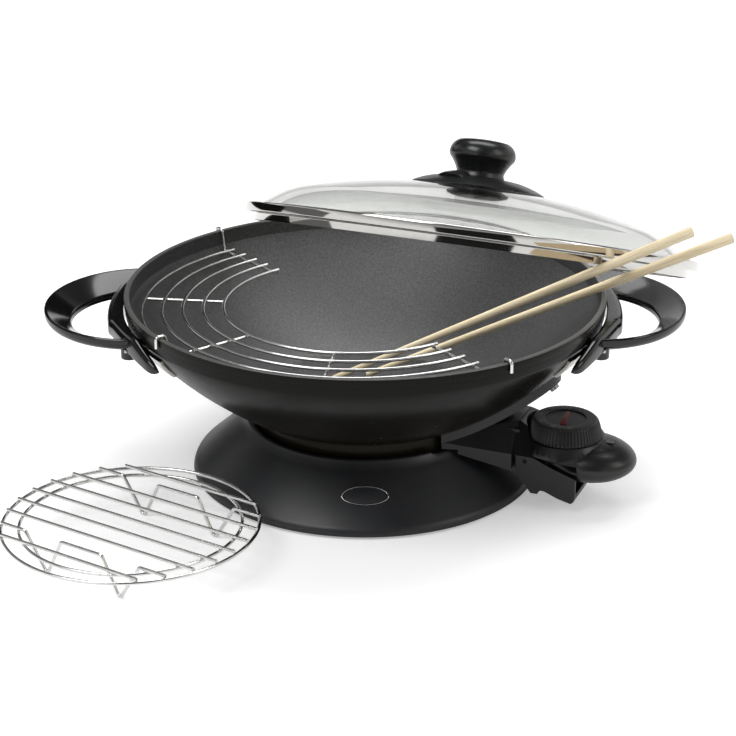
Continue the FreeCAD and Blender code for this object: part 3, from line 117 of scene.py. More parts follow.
def open_material(name: str) -> tuple[Material, Tree]:
    """Start a material.

    Args:
        name: its name.

    Returns:
        The material and its emptied node tree.
    """
    material = bpy.data.materials.new(name)
    material.use_nodes = True
    material.node_tree.nodes.clear()
    return material, material.node_tree


def close_material(tree: Tree, shader: Node) -> None:
    """Lead a shader to the material's output."""
    add_node(tree, "ShaderNodeOutputMaterial", links={"Surface": shader.outputs[0]})


# ---------------------------------------------------------------- finishes

@dataclass(frozen=True)
class Finish:
    """Finish whose tone, gloss and relief follow patterns; their sizes are real millimetres."""

    name: str
    colour: str
    second_colour: str = ""
    roughness: float = 0.5
    spread: float = 0.05
    depth: float = 0.02
    gloss_from: ClassVar[tuple[float, float]] = (0.0, 1.0)
    relief: ClassVar[float] = 0.5
    shader: ClassVar[dict] = {}

    def patterns(self, tree: Tree, place: Socket) -> tuple[Socket | None, Socket | None, Socket | None]:
        """Draw the finish's patterns.

        Args:
            tree: node tree of the material.
            place: the object's own coordinates.

        Returns:
            Share of the second colour, pattern of the gloss and height of the relief, or None
            where the finish is even.
        """
        raise NotImplementedError

    def build(self) -> Material:
        """Build the finish.

        Returns:
            Its material.
        """
        material, tree = open_material(self.name)
        place = add_node(tree, "ShaderNodeTexCoord").outputs["Object"]
        share, pattern, height = self.patterns(tree, place)
        settings, links = dict(self.shader), {}
        if share is None:
            settings["Base Color"] = hex_colour(self.colour)
        else:
            links["Base Color"] = add_node(tree, "ShaderNodeMix", {
                "data_type": "RGBA", 6: hex_colour(self.colour),
                7: hex_colour(self.second_colour)}, {0: share}).outputs[2]
        if pattern is None:
            settings["Roughness"] = self.roughness
        else:
            links["Roughness"] = add_node(tree, "ShaderNodeMapRange", {
                "From Min": self.gloss_from[0], "From Max": self.gloss_from[1],
                "To Min": self.roughness - self.spread,
                "To Max": self.roughness + self.spread}, {"Value": pattern}).outputs["Result"]
        if height is not None:
            links["Normal"] = add_node(tree, "ShaderNodeBump", {
                "Strength": self.relief, "Distance": self.depth * MILLIMETRE},
                {"Height": height}).outputs["Normal"]
        close_material(tree, add_node(tree, "ShaderNodeBsdfPrincipled", settings, links))
        return material


@dataclass(frozen=True)
class MouldedPlastic(Finish):
    """Black moulded plastic: a fine moulded grain breaks its gloss and its tone clouds a little."""

    spread: float = 0.06
    grain: float = 1.1
    cloud: ClassVar[float] = 38.0
    gloss_from = (0.3, 0.7)
    relief = 0.6
    shader = {"IOR": 1.5, "Specular IOR Level": 0.5}

    def patterns(self, tree: Tree, place: Socket) -> tuple[Socket, Socket, Socket]:
        """Draw broad clouds and a fine grain.

        Args:
            tree: node tree of the material.
            place: the object's own coordinates.

        Returns:
            The clouds for tone and gloss, and the grain.
        """
        cloud = add_node(tree, "ShaderNodeTexNoise", {
            "Scale": per_metre(self.cloud), "Detail": 3.0, "Roughness": 0.55}, {"Vector": place})
        grain = add_node(tree, "ShaderNodeTexNoise", {
            "Scale": per_metre(self.grain), "Detail": 2.0}, {"Vector": place})
        return cloud.outputs["Fac"], cloud.outputs["Fac"], grain.outputs["Fac"]


@dataclass(frozen=True)
class Metal(Finish):
    """Metal whose polish varies: fine rubbed marks stretch along one way and blur its reflections."""

    spread: float = 0.04
    depth: float = 0.0
    mark: tuple[float, float, float] = (6.0, 6.0, 1.2)
    gloss_from = (0.3, 0.7)
    shader = {"Metallic": 1.0}

    def patterns(self, tree: Tree, place: Socket) -> tuple[Socket, Socket, Socket | None]:
        """Draw the rubbed marks.

        Args:
            tree: node tree of the material.
            place: the object's own coordinates.

        Returns:
            The marks for tone and gloss, and for relief where they have depth.
        """
        stretched = add_node(tree, "ShaderNodeMapping", {
            "Scale": tuple(per_metre(size) for size in self.mark)}, {"Vector": place})
        marks = add_node(tree, "ShaderNodeTexNoise", {"Scale": 1.0, "Detail": 4.0, "Roughness": 0.6},
                         {"Vector": stretched.outputs["Vector"]}).outputs["Fac"]
        return marks, marks, marks if self.depth else None


@dataclass(frozen=True)
class NonstickCoating(Finish):
    """Sprayed non-stick coating: dark grey with fine mottling and a soft sheen over pebbles."""

    fleck: ClassVar[float] = 1.6
    pebble: ClassVar[float] = 2.2
    shader = {"IOR": 1.45, "Specular IOR Level": 0.6}

    def patterns(self, tree: Tree, place: Socket) -> tuple[Socket, Socket, Socket]:
        """Draw flecks and pebbles.

        Args:
            tree: node tree of the material.
            place: the object's own coordinates.

        Returns:
            The sharpened flecks, the flecks as they are, and the pebbles.
        """
        flecks = add_node(tree, "ShaderNodeTexNoise", {
            "Scale": per_metre(self.fleck), "Detail": 4.0, "Roughness": 0.7},
            {"Vector": place}).outputs["Fac"]
        share = add_node(tree, "ShaderNodeMapRange", {"From Min": 0.38, "From Max": 0.68},
                         {"Value": flecks})
        pebbles = add_node(tree, "ShaderNodeTexVoronoi", {
            "feature": "SMOOTH_F1", "Scale": per_metre(self.pebble), "Smoothness": 1.0},
            {"Vector": place})
        return share.outputs["Result"], flecks, pebbles.outputs["Distance"]


@dataclass(frozen=True)
class BakedEnamel(Finish):
    """Baked outer coat of the wok: brown-black, glossier than the inside; lighter and warmer low on the
    wall as painted floor reflection.
    """

    depth: float = 0.012
    peel: ClassVar[float] = 9.0
    low: ClassVar[float] = 45.0
    high: ClassVar[float] = 110.0
    relief = 0.4
    shader = {"IOR": 1.5, "Specular IOR Level": 0.13}

    def patterns(self, tree: Tree, place: Socket) -> tuple[Socket, Socket, Socket]:
        """Draw the painted floor reflection, lighter low on the wall, and the slight peel of the coat.

        Args:
            tree: node tree of the material.
            place: the object's own coordinates.

        Returns:
            The share of the upper colour, and the peel for gloss and relief.
        """
        height = add_node(tree, "ShaderNodeSeparateXYZ", links={0: place}).outputs["Z"]
        # Painted reflected light: the wall turns lighter and warmer towards its foot, as the floor's
        # light would make it.
        share = add_node(tree, "ShaderNodeMapRange", {
            "interpolation_type": "SMOOTHSTEP", "From Min": self.low * MILLIMETRE,
            "From Max": self.high * MILLIMETRE}, {"Value": height})
        peel = add_node(tree, "ShaderNodeTexNoise", {"Scale": per_metre(self.peel), "Detail": 2.0},
                        {"Vector": place})
        return share.outputs["Result"], peel.outputs["Fac"], peel.outputs["Fac"]


@dataclass(frozen=True)
class TemperedGlass(Finish):
    """Pressed and tempered soda-lime glass: clear with a faint grey body and slight waviness."""

    wave: ClassVar[float] = 45.0
    relief = 0.3
    shader = {"Transmission Weight": 1.0, "IOR": 1.5}

    def patterns(self, tree: Tree, place: Socket) -> tuple[None, Socket, Socket]:
        """Draw the waviness.

        Args:
            tree: node tree of the material.
            place: the object's own coordinates.

        Returns:
            None for the even tone, and the waves for haze and relief.
        """
        wave = add_node(tree, "ShaderNodeTexNoise", {"Scale": per_metre(self.wave), "Detail": 1.0},
                        {"Vector": place}).outputs["Fac"]
        return None, wave, wave


@dataclass(frozen=True)
class TurnedWood(Finish):
    """Pale turned wood: long darker fibres run along the stick and pores dull its surface."""

    roughness: float = 0.55
    depth: float = 0.05
    tip: tuple[float, float, float] = (0.0, 0.0, 0.0)
    turn: tuple[float, float, float] = (0.0, 0.0, 0.0)
    fibre: ClassVar[float] = 0.9
    fibre_length: ClassVar[float] = 23.4
    relief = 0.4
    shader = {"IOR": 1.45}

    def patterns(self, tree: Tree, place: Socket) -> tuple[Socket, None, Socket]:
        """Draw the fibres along the stick.

        Args:
            tree: node tree of the material.
            place: the object's own coordinates.

        Returns:
            The sharpened fibres, None for the even gloss, and the fibres as relief.
        """
        width = self.fibre * MILLIMETRE
        along = add_node(tree, "ShaderNodeMapping", {
            "vector_type": "TEXTURE", "Location": tuple(c * MILLIMETRE for c in self.tip),
            "Rotation": self.turn, "Scale": (width, width, self.fibre_length * MILLIMETRE)},
            {"Vector": place})
        fibres = add_node(tree, "ShaderNodeTexNoise", {
            "Scale": 1.0, "Detail": 4.0, "Roughness": 0.65},
            {"Vector": along.outputs["Vector"]}).outputs["Fac"]
        share = add_node(tree, "ShaderNodeMapRange", {"From Min": 0.42, "From Max": 0.72},
                         {"Value": fibres})
        return share.outputs["Result"], None, fibres


@dataclass(frozen=True)
class PrintedInk(Finish):
    """Pad-printed ink: flat and slightly uneven in tone."""

    wear: ClassVar[float] = 1.5

    def patterns(self, tree: Tree, place: Socket) -> tuple[Socket, None, None]:
        """Draw the uneven tone.

        Args:
            tree: node tree of the material.
            place: the object's own coordinates.

        Returns:
            The wear, and None for the even gloss and surface.
        """
        wear = add_node(tree, "ShaderNodeTexNoise", {"Scale": per_metre(self.wear), "Detail": 2.0},
                        {"Vector": place})
        return wear.outputs["Fac"], None, None


# Injection-moulded polypropylene: even charcoal with a soft wide sheen.
BLACK_SATIN = MouldedPlastic("satin_polypropylene", "17181b", "242528", 0.4)
# Polished phenolic: near black with clear, narrow reflections.
HANDLE_GLOSS = MouldedPlastic("glossy_phenolic", "070708", "0c0c0d", 0.13, 0.03, 0.004, grain=3.0)
# Satin phenolic: black with blurred highlights along its curves.
CONTROL_SATIN = MouldedPlastic("satin_phenolic", "101113", "191a1c", 0.33)
# The dial's own phenolic: greyer and duller, so that its ribs read.
DIAL_SATIN = MouldedPlastic("satin_phenolic_dial", "1b1c1e", "252628", 0.45)
# The control's phenolic, a little duller, on the guard.
GUARD_SATIN = MouldedPlastic("satin_phenolic_guard", "0f1012", "17181b", 0.37)
# Hand-rubbed phenolic: broad grey highlight on the crown.
KNOB_SATIN = MouldedPlastic("rubbed_phenolic", "0f1011", "17181a", 0.3, 0.04)
# Glass-filled nylon: dull dark grey.
BLOCK_PLASTIC = MouldedPlastic("glass_filled_nylon", "1d1d1e", "2a2a2b", 0.55)
# Nitrile rubber: matt black.
RUBBER = MouldedPlastic("nitrile_rubber", "101010", "1b1b1b", 0.7, depth=0.05, grain=0.9)
# Smoked polycarbonate: almost black with a dark red cast.
LENS = MouldedPlastic("smoked_polycarbonate", "140a0a", "1e0d0c", 0.12, 0.02)
# Sprayed coating: neutral dark grey, finely speckled. Its specks are drawn coarser than real to show.
COATING = NonstickCoating("nonstick_coating", "2b2b2c", "4a4a4a", 0.46)
# The coating on the rim's top, painted lighter: a painted highlight line where the edge catches the
# light.
RIM_HIGHLIGHT = NonstickCoating("coating_painted_rim_highlight", "454443", "5a5957", 0.34)
# Baked enamel: brown-black, lighter and warmer low on the wall as a painted reflection of the floor.
ENAMEL = BakedEnamel("baked_enamel", "1d1a13", "0f0e0c", 0.25)
# Polished stainless steel: a clean mirror with slight rubbed marks.
POLISHED_STEEL = Metal("polished_stainless_steel", "dcdbd8", "cbc9c5", 0.07, 0.02)
# Drawn steel: soft grey, blurred along the drawing.
DRAWN_STEEL = Metal("drawn_steel", "c4c2bd", "a5a29c", 0.24, 0.06)
# Chrome plate: bright silver with dark accents.
CHROME = Metal("bright_chrome_plate", "e9e9e8", "cfcfcd", 0.2, 0.06, mark=(5.0, 5.0, 5.0))
# Blackened steel: dull dark metal.
BLACKENED_STEEL = Metal("blackened_steel", "2b2b2c", "1b1b1c", 0.45, 0.08, mark=(1.5, 1.5, 1.5))
# Satin steel: pale and evenly blurred, as a deep-drawn cup is.
CUP_STEEL = Metal("satin_steel_cup", "dddbd7", "c4c1bc", 0.42, 0.06, mark=(4.0, 4.0, 4.0))
# Zinc plate: dull blue-grey.
SCREW_STEEL = Metal("zinc_plated_steel", "a9aaa6", "868782", 0.32, 0.08, 0.02, (1.5, 1.5, 1.5))
# Heater tube steel, browned by heat: rough and uneven.
ELEMENT_METAL = Metal("oxidised_steel", "6b6660", "4b453f", 0.5, 0.1, 0.04, (3.0, 3.0, 3.0))
# Turned brass: yellow with fine rings from the lathe.
BRASS = Metal("turned_brass", "c9a45c", "a8813e", 0.26, 0.08, mark=(2.0, 2.0, 0.6))
# Painted plate: an even dark face, a little glossier than the skirt.
BADGE_FACE = MouldedPlastic("painted_badge_face", "202124", "2a2b2e", 0.38, grain=1.6)
# Chromed rolled edge: a thin bright line.
BADGE_RIM = Metal("badge_rim_chrome", "c9c9c8", "a3a3a1", 0.22, 0.05)
# Clear pressed glass: a grey cast where it is seen edge on.
GLASS = TemperedGlass("tempered_glass", "dfe0de", roughness=0.03, spread=0.01, depth=0.05)
# Worn white pad print: pale grey figures that stay faint.
WHITE_INK = PrintedInk("white_dial_print", "8a8a87", "5d5d5b")
# Dark red paint on the pointer.
RED_INK = PrintedInk("red_pointer_paint", "8c1218", "5c0a0f")


@cache
def material_of(finish: Finish) -> Material:
    """Return the material of a finish, which is built at its first use."""
    return finish.build()


# ---------------------------------------------------------------- mesh helpers

class Outline:
    """Wire in the XZ plane that is turned about Z; corners may be rounded before the turn."""

    def __init__(self, bm: BMesh, radius: float, height: float) -> None:
        """Start the wire.

        Args:
            bm: mesh that gets it.
            radius: radius of its first point.
            height: height of its first point.
        """
        self.bm = bm
        self.verts = [bm.verts.new((radius, 0, height))]
        self.rounds: list[tuple[BMVert, float]] = []

    def to(self, *points: Sequence[float]) -> "Outline":
        """Go straight from point to point.

        Args:
            points: radius and height of each, and the rounding of its corner if it has one.

        Returns:
            The outline itself.
        """
        for radius, height, *rounding in points:
            vert = self.bm.verts.new((radius, 0, height))
            self.bm.edges.new((self.verts[-1], vert))
            self.verts.append(vert)
            self.rounds += [(vert, size) for size in rounding]
        return self

    def arc(self, radius: float, height: float, bend: float, left: bool = True,
            steps: int = 12) -> "Outline":
        """Go along an arc to a point.

        Args:
            radius: radius of the end point.
            height: height of the end point.
            bend: radius of the arc.
            left: True if the arc turns left seen with +X right and +Z up.
            steps: number of edges in the arc.

        Returns:
            The outline itself.
        """
        start = Vector(self.verts[-1].co)
        end = Vector((radius, 0, height))
        chord = end - start
        side = Vector((-chord.z, 0, chord.x)).normalized() * (1 if left else -1)
        centre = (start + end) / 2 + side * math.sqrt(max(bend ** 2 - (chord.length / 2) ** 2, 0))
        angle = 2 * math.asin(min(chord.length / 2 / bend, 1)) * (-1 if left else 1)
        made = bmesh.ops.spin(self.bm, geom=[self.verts[-1]], cent=centre, axis=(0, 1, 0),
                              dvec=(0, 0, 0), angle=angle, steps=steps)
        last = next(item for item in made["geom_last"] if isinstance(item, BMVert))
        last.co = end
        self.verts.append(last)
        return self

    def close(self, *rounding: float) -> "Outline":
        """Go straight back to the start.

        Args:
            rounding: rounding of the start's corner, if it has one.

        Returns:
            The outline itself.
        """
        self.bm.edges.new((self.verts[-1], self.verts[0]))
        self.rounds += [(self.verts[0], size) for size in rounding]
        return self

    def turn(self, steps: int, sweep: float = 360.0, material: int = 0) -> None:
        """Turn the wire about Z into faces.

        Args:
            steps: number of steps in the sweep.
            sweep: degrees to turn through, half of them to each side of +X unless it is a full turn.
            material: number of the material slot for the new faces.
        """
        for vert, rounding in self.rounds:
            bmesh.ops.bevel(self.bm, geom=[vert], offset=rounding, offset_type="OFFSET", segments=4,
                            profile=0.5, affect="VERTICES", material=-1, clamp_overlap=True)
        wire = [edge for edge in self.bm.edges if not edge.link_faces]
        verts = list({vert for edge in wire for vert in edge.verts})
        old = set(self.bm.faces)
        full = sweep == 360
        if not full:
            bmesh.ops.rotate(self.bm, verts=verts, cent=(0, 0, 0),
                             matrix=Matrix.Rotation(math.radians(-sweep / 2), 3, "Z"))
        bmesh.ops.spin(self.bm, geom=verts + wire, cent=(0, 0, 0), axis=(0, 0, 1), dvec=(0, 0, 0),
                       angle=math.radians(sweep), steps=steps, use_merge=full)
        if not full:
            ends = [edge for edge in self.bm.edges if edge.is_boundary]
            bmesh.ops.holes_fill(self.bm, edges=ends, sides=0)
        for face in self.bm.faces:
            if face not in old:
                face.material_index = material


def piece_from(bm: BMesh, name: str, finishes: Sequence[Finish], sharp: float) -> Object:
    """Make a piece of a mesh that is already in metres.

    Args:
        bm: the mesh; it is used up.
        name: name of the piece.
        finishes: finish of each material slot.
        sharp: edges that bend more than this many degrees stay sharp.

    Returns:
        The piece, at the origin.
    """
    for face in bm.faces:
        face.smooth = True
    mesh = bpy.data.meshes.new(name)
    bm.to_mesh(mesh)
    bm.free()
    mesh.set_sharp_from_angle(angle=math.radians(sharp))
    for finish in finishes:
        mesh.materials.append(material_of(finish))
    piece = bpy.data.objects.new(name, mesh)
    bpy.context.scene.collection.objects.link(piece)
    return piece


def finish_piece(bm: BMesh, name: str, finishes: Sequence[Finish], matrix: Matrix | None = None,
                 sharp: float = 35.0) -> Object:
    """Turn a mesh in millimetres into a piece in metres with its materials.

    Args:
        bm: mesh in its own frame; it is used up.
        name: name of the piece.
        finishes: finish of each material slot.
        matrix: where the piece's own frame lies in the wok's frame, in millimetres.
        sharp: edges that bend more than this many degrees stay sharp.

    Returns:
        The piece, at the origin.
    """
    bmesh.ops.remove_doubles(bm, verts=bm.verts, dist=MERGE)
    bmesh.ops.recalc_face_normals(bm, faces=bm.faces)
    place = Matrix.Scale(MILLIMETRE, 4) @ (matrix or Matrix.Identity(4))
    bmesh.ops.transform(bm, matrix=place, verts=bm.verts)
    return piece_from(bm, name, finishes, sharp)


def present(piece: Object, body: str, slot: str, *nodes: str) -> None:
    """Let a piece ride on a body and stand for CAD nodes.

    Args:
        piece: the piece.
        body: body that it rides on.
        slot: the record's material slot; not used.
        nodes: CAD nodes that it replaces.
    """
    if nodes:
        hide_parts(*nodes)
    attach(piece, body)
    LOG.info("%s rides on %s", piece.name, body)


def recast(node: str, name: str, finish: Finish, body: str, slot: str, sharp: float = 38.0,
           edge: float = 0.0) -> None:
    """Replace a CAD node by its own shape with joined triangles, so that it shades as one moulding.

    Args:
        node: name of the CAD node.
        name: name of the new piece.
        finish: its finish.
        body: body that it rides on.
        slot: the record's material slot.
        sharp: edges that bend more than this many degrees stay sharp.
        edge: width of the rounding of those edges, or 0 for none.
    """
    bm = bmesh.new()
    bm.from_mesh(frame["nodes"][node].data)
    bmesh.ops.remove_doubles(bm, verts=bm.verts, dist=MERGE * MILLIMETRE * 4)
    if edge:
        bmesh.ops.dissolve_limit(bm, angle_limit=math.radians(0.4), verts=bm.verts, edges=bm.edges,
                                 delimit=set())
    for face in bm.faces:
        face.material_index = 0
    piece = piece_from(bm, name, [finish], sharp)
    if edge:
        rounding = piece.modifiers.new("moulded_edges", "BEVEL")
        rounding.width = edge * MILLIMETRE
        rounding.segments = 2
        rounding.limit_method = "ANGLE"
        rounding.angle_limit = math.radians(sharp)
        rounding.harden_normals = True
        rounding.miter_outer = "MITER_ARC"
    present(piece, body, slot, node)


def dress(finish: Finish, *nodes: str) -> None:
    """Give CAD nodes that stay as they are a finish.

    Args:
        finish: the finish.
        nodes: names of the CAD nodes.
    """
    for node in nodes:
        for slot in frame["nodes"][node].material_slots:
            slot.material = material_of(finish)
        LOG.info("%s dressed in %s", node, finish.name)


def turned_about(degrees: float, spot: Sequence[float] = (0, 0, 0)) -> Matrix:
    """Return the matrix that turns about Z and then moves to a spot."""
    return Matrix.Translation(spot) @ Matrix.Rotation(math.radians(degrees), 4, "Z")


def heading(degrees: float) -> tuple[Vector, Vector]:
    """Return the level direction at a turn about Z and the one to its left."""
    along = Vector((math.cos(math.radians(degrees)), math.sin(math.radians(degrees)), 0))
    return along, UP.cross(along)


# ---------------------------------------------------------------- base stand

@dataclass
class BaseStand:
    """Skirted stand with its cover, feet, screws and a bare oval badge on the front slope."""

    seat_radius: float = 84.6
    seat_height: float = 38.0
    seat_ease: float = 0.8
    lip_radius: float = 89.0
    lip_height: float = 41.2
    lip_crown: float = 2.3
    skirt_top: tuple[float, float, float] = (91.8, 37.4, 2.4)
    skirt_middle: tuple[float, float, float] = (111.3, 21.0, 9.0)
    skirt_edge: tuple[float, float] = (125.8, 8.2)
    foot_radius: float = 128.6
    foot_height: float = 2.0
    arc_steps: int = 10
    wall: float = 3.0
    wall_across: float = 2.2
    notch_turn: float = -22.0
    notch_half: float = 50.0
    notch_height: float = 40.5
    badge_spot: tuple[float, float, float] = (0.0, -107.706, 24.0)
    slope_rise: float = 16.4
    slope_run: float = 19.504
    badge_half_length: float = 17.0
    badge_half_height: float = 7.25
    badge_low: float = -1.4
    rim_width: float = 1.3
    rim_rise: float = 0.9
    rim_eases: tuple[float, float] = (0.6, 0.5)
    face_edge: float = -0.25
    face_middle: float = 0.35
    face_bend: float = 150.0

    def make_skirt(self) -> Object:
        """Make the hollow skirt; its rounded lip is lower where the guard passes over it.

        Returns:
            The skirt.
        """
        bm = bmesh.new()
        inside = self.seat_height - self.wall
        outline = Outline(bm, 0, self.seat_height)
        outline.to((self.seat_radius, self.seat_height, self.seat_ease),
                   (self.seat_radius, self.lip_height))
        outline.arc(self.lip_radius, self.lip_height, self.lip_crown, False, self.arc_steps)
        outline.to(self.skirt_top, self.skirt_middle, self.skirt_edge)
        outline.arc(self.foot_radius, self.foot_height, self.skirt_edge[1], False, self.arc_steps)
        outline.to((self.foot_radius - self.wall, self.foot_height))
        for radius, height, *_ in (self.skirt_edge, self.skirt_middle):
            outline.to((radius - self.wall_across, height - self.wall_across))
        outline.to((self.skirt_top[0], inside), (0, inside)).turn(ROUND)
        along, side = heading(self.notch_turn)
        for vert in bm.verts:
            if vert.co.dot(along) > 0 and abs(vert.co.dot(side)) < self.notch_half:
                vert.co.z = min(vert.co.z, self.notch_height)
        return finish_piece(bm, "base_skirt", [BLACK_SATIN], sharp=30)

    def badge_matrix(self) -> Matrix:
        """Find where the badge lies.

        Returns:
            Matrix from the badge's own frame, with Z out of the slope, to the wok's frame.
        """
        outward = Vector((0, -self.slope_rise, self.slope_run)).normalized()
        across = Vector((1, 0, 0))
        turn = Matrix((across, outward.cross(across), outward)).transposed().to_4x4()
        return Matrix.Translation(self.badge_spot) @ turn

    def make_badge(self) -> Object:
        """Make the badge: a bright rolled rim round a bare dark face, slightly crowned.

        Returns:
            The badge.
        """
        bm = bmesh.new()
        radius = self.badge_half_length
        inner = radius - self.rim_width
        Outline(bm, radius, self.badge_low).to(
            (radius, self.rim_rise, self.rim_eases[0]), (inner, self.rim_rise, self.rim_eases[1]),
            (inner, self.face_edge)).turn(96, material=1)
        Outline(bm, inner, self.face_edge).arc(
            0, self.face_middle, self.face_bend, True, self.arc_steps).turn(96)
        bmesh.ops.scale(bm, vec=(1, self.badge_half_height / radius, 1), verts=bm.verts)
        bottom = [edge for edge in bm.edges
                  if edge.is_boundary and edge.verts[0].co.z < self.badge_low / 2]
        bmesh.ops.holes_fill(bm, edges=bottom, sides=0)
        return finish_piece(bm, "badge_oval", [BADGE_FACE, BADGE_RIM], self.badge_matrix())

    def build(self) -> None:
        """Build and dress the whole stand."""
        present(self.make_skirt(), "base", "black_plastic", "base_shell")
        present(self.make_badge(), "base", "badge_metal", "badge_plate")
        dress(BLACK_SATIN, "base_bottom_cover")
        dress(SCREW_STEEL, "base_screws")
        dress(RUBBER, "rubber_feet")


# ---------------------------------------------------------------- wok pan

@dataclass
class WokPan:
    """Deep cast pan: coated inside, enamelled outside, a painted highlight on the flat rim's top, and a
    foot ring.
    """

    floor_radius: float = 82.2
    floor_height: float = 51.7
    shoulder_radius: float = 174.3
    shoulder_height: float = 128.4
    power: float = 1.626
    wall: float = 3.1
    rim_radius: float = 175.0
    rim_top: float = 140.5
    rim_band: float = 6.0
    rim_eases: tuple[float, float, float] = (0.8, 1.0, 0.6)
    rim_start: float = 0.9
    highlight_depth: float = 0.6
    foot_low: float = 38.0
    foot_width: float = 3.2
    foot_ease: float = 0.8
    foot_slack: float = 0.1
    gap_turn: float = -22.0
    gap_half: float = 19.0
    steps: int = 30

    def wall_points(self, offset: float) -> list[tuple[float, float]]:
        """Find points of the bowl's wall from the floor to the shoulder.

        Args:
            offset: how far outward the wall is moved.

        Returns:
            Radius and height of each point.
        """
        rise = self.shoulder_height - self.floor_height
        spread = self.shoulder_radius - self.floor_radius
        points = []
        for step in range(self.steps + 1):
            turn = math.pi / 2 * (1 - step / self.steps)
            across, down = max(math.cos(turn), 1e-9), max(math.sin(turn), 1e-9)
            outward = Vector((down ** (self.power - 1) * across * rise,
                              -across ** (self.power - 1) * down * spread)).normalized()
            spot = Vector((self.floor_radius + spread * across ** self.power,
                           self.shoulder_height - rise * down ** self.power)) + outward * offset
            points.append((spot.x, spot.y))
        return points

    def make_bowl(self) -> Object:
        """Make the pan as one closed casting: coating inside, enamel outside, a painted highlight on the
        rim's top.

        Returns:
            The pan.
        """
        bm = bmesh.new()
        inside, outside = self.wall_points(-self.wall), self.wall_points(0)
        inner, start = inside[-1][0], self.rim_top - self.rim_start
        band = self.rim_top - self.rim_band
        inner_ease, outer_ease, band_ease = self.rim_eases
        Outline(bm, 0, self.floor_height + self.wall).to(*inside, (inner, start)).turn(ROUND)
        Outline(bm, inner, start).to(
            (inner, self.rim_top, inner_ease), (self.rim_radius, self.rim_top, outer_ease),
            (self.rim_radius, band, band_ease), (self.shoulder_radius, band)).turn(ROUND, material=2)
        # Only the rim's top keeps the lighter coating, a painted highlight; the rest of the rim goes
        # back to coating or enamel.
        for face in bm.faces:
            middle = face.calc_center_median()
            if face.material_index == 2 and middle.z < self.rim_top - self.highlight_depth:
                face.material_index = 1 if middle.xy.length > self.shoulder_radius else 0
        foot_inner = self.floor_radius - self.foot_width
        Outline(bm, self.shoulder_radius, band).to(
            *reversed(outside), (self.floor_radius, self.foot_low, self.foot_ease),
            (foot_inner, self.foot_low, self.foot_ease), (foot_inner, self.floor_height),
            (0, self.floor_height)).turn(ROUND, material=1)
        self.cut_foot(bm, foot_inner)
        return finish_piece(bm, "wok_bowl", [COATING, ENAMEL, RIM_HIGHLIGHT], sharp=40)

    def cut_foot(self, bm: BMesh, inner: float) -> None:
        """Take the foot ring away where the element's legs leave the pan, and close its ends.

        Args:
            bm: mesh of the pan.
            inner: inner radius of the foot ring.
        """
        along, across = heading(self.gap_turn)

        def in_foot(face: BMFace) -> bool:
            """Tell if a face is in the foot ring's half that has the gap.

            Args:
                face: the face.

            Returns:
                True if it is.
            """
            spot = face.calc_center_median()
            return (spot.z < self.floor_height - MERGE and spot.dot(along) > 0
                    and spot.xy.length > inner - self.foot_slack)

        for side in (-1, 1):
            foot = [face for face in bm.faces if in_foot(face)]
            edges = list({edge for face in foot for edge in face.edges})
            verts = list({vert for face in foot for vert in face.verts})
            bmesh.ops.bisect_plane(bm, geom=foot + edges + verts, dist=MERGE,
                                   plane_co=across * side * self.gap_half, plane_no=across * side)
        gap = [face for face in bm.faces if in_foot(face)
               and abs(face.calc_center_median().dot(across)) < self.gap_half]
        bmesh.ops.delete(bm, geom=gap, context="FACES")
        bmesh.ops.remove_doubles(bm, verts=bm.verts, dist=MERGE)
        ends = [edge for edge in bm.edges if edge.is_boundary]
        bmesh.ops.holes_fill(bm, edges=ends, sides=0)

    def build(self) -> None:
        """Build the pan and dress what is fixed under it."""
        present(self.make_bowl(), "wok", "nonstick_coating", "wok_pan")
        recast("terminal_guard", "terminal_guard_moulding", GUARD_SATIN, "wok", "black_plastic", 30, 1.4)
        dress(ELEMENT_METAL, "heating_element", "probe_sleeve")
        dress(BRASS, "terminal_pins")
        dress(SCREW_STEEL, "guard_screw", "handle_screws")
        dress(DRAWN_STEEL, "handle_bracket_left", "handle_bracket_right")


# ---------------------------------------------------------------- handles

class Side(Enum):
    """Side of the wok that a handle is on, by the turn from the right handle."""

    RIGHT = 0
    LEFT = 180


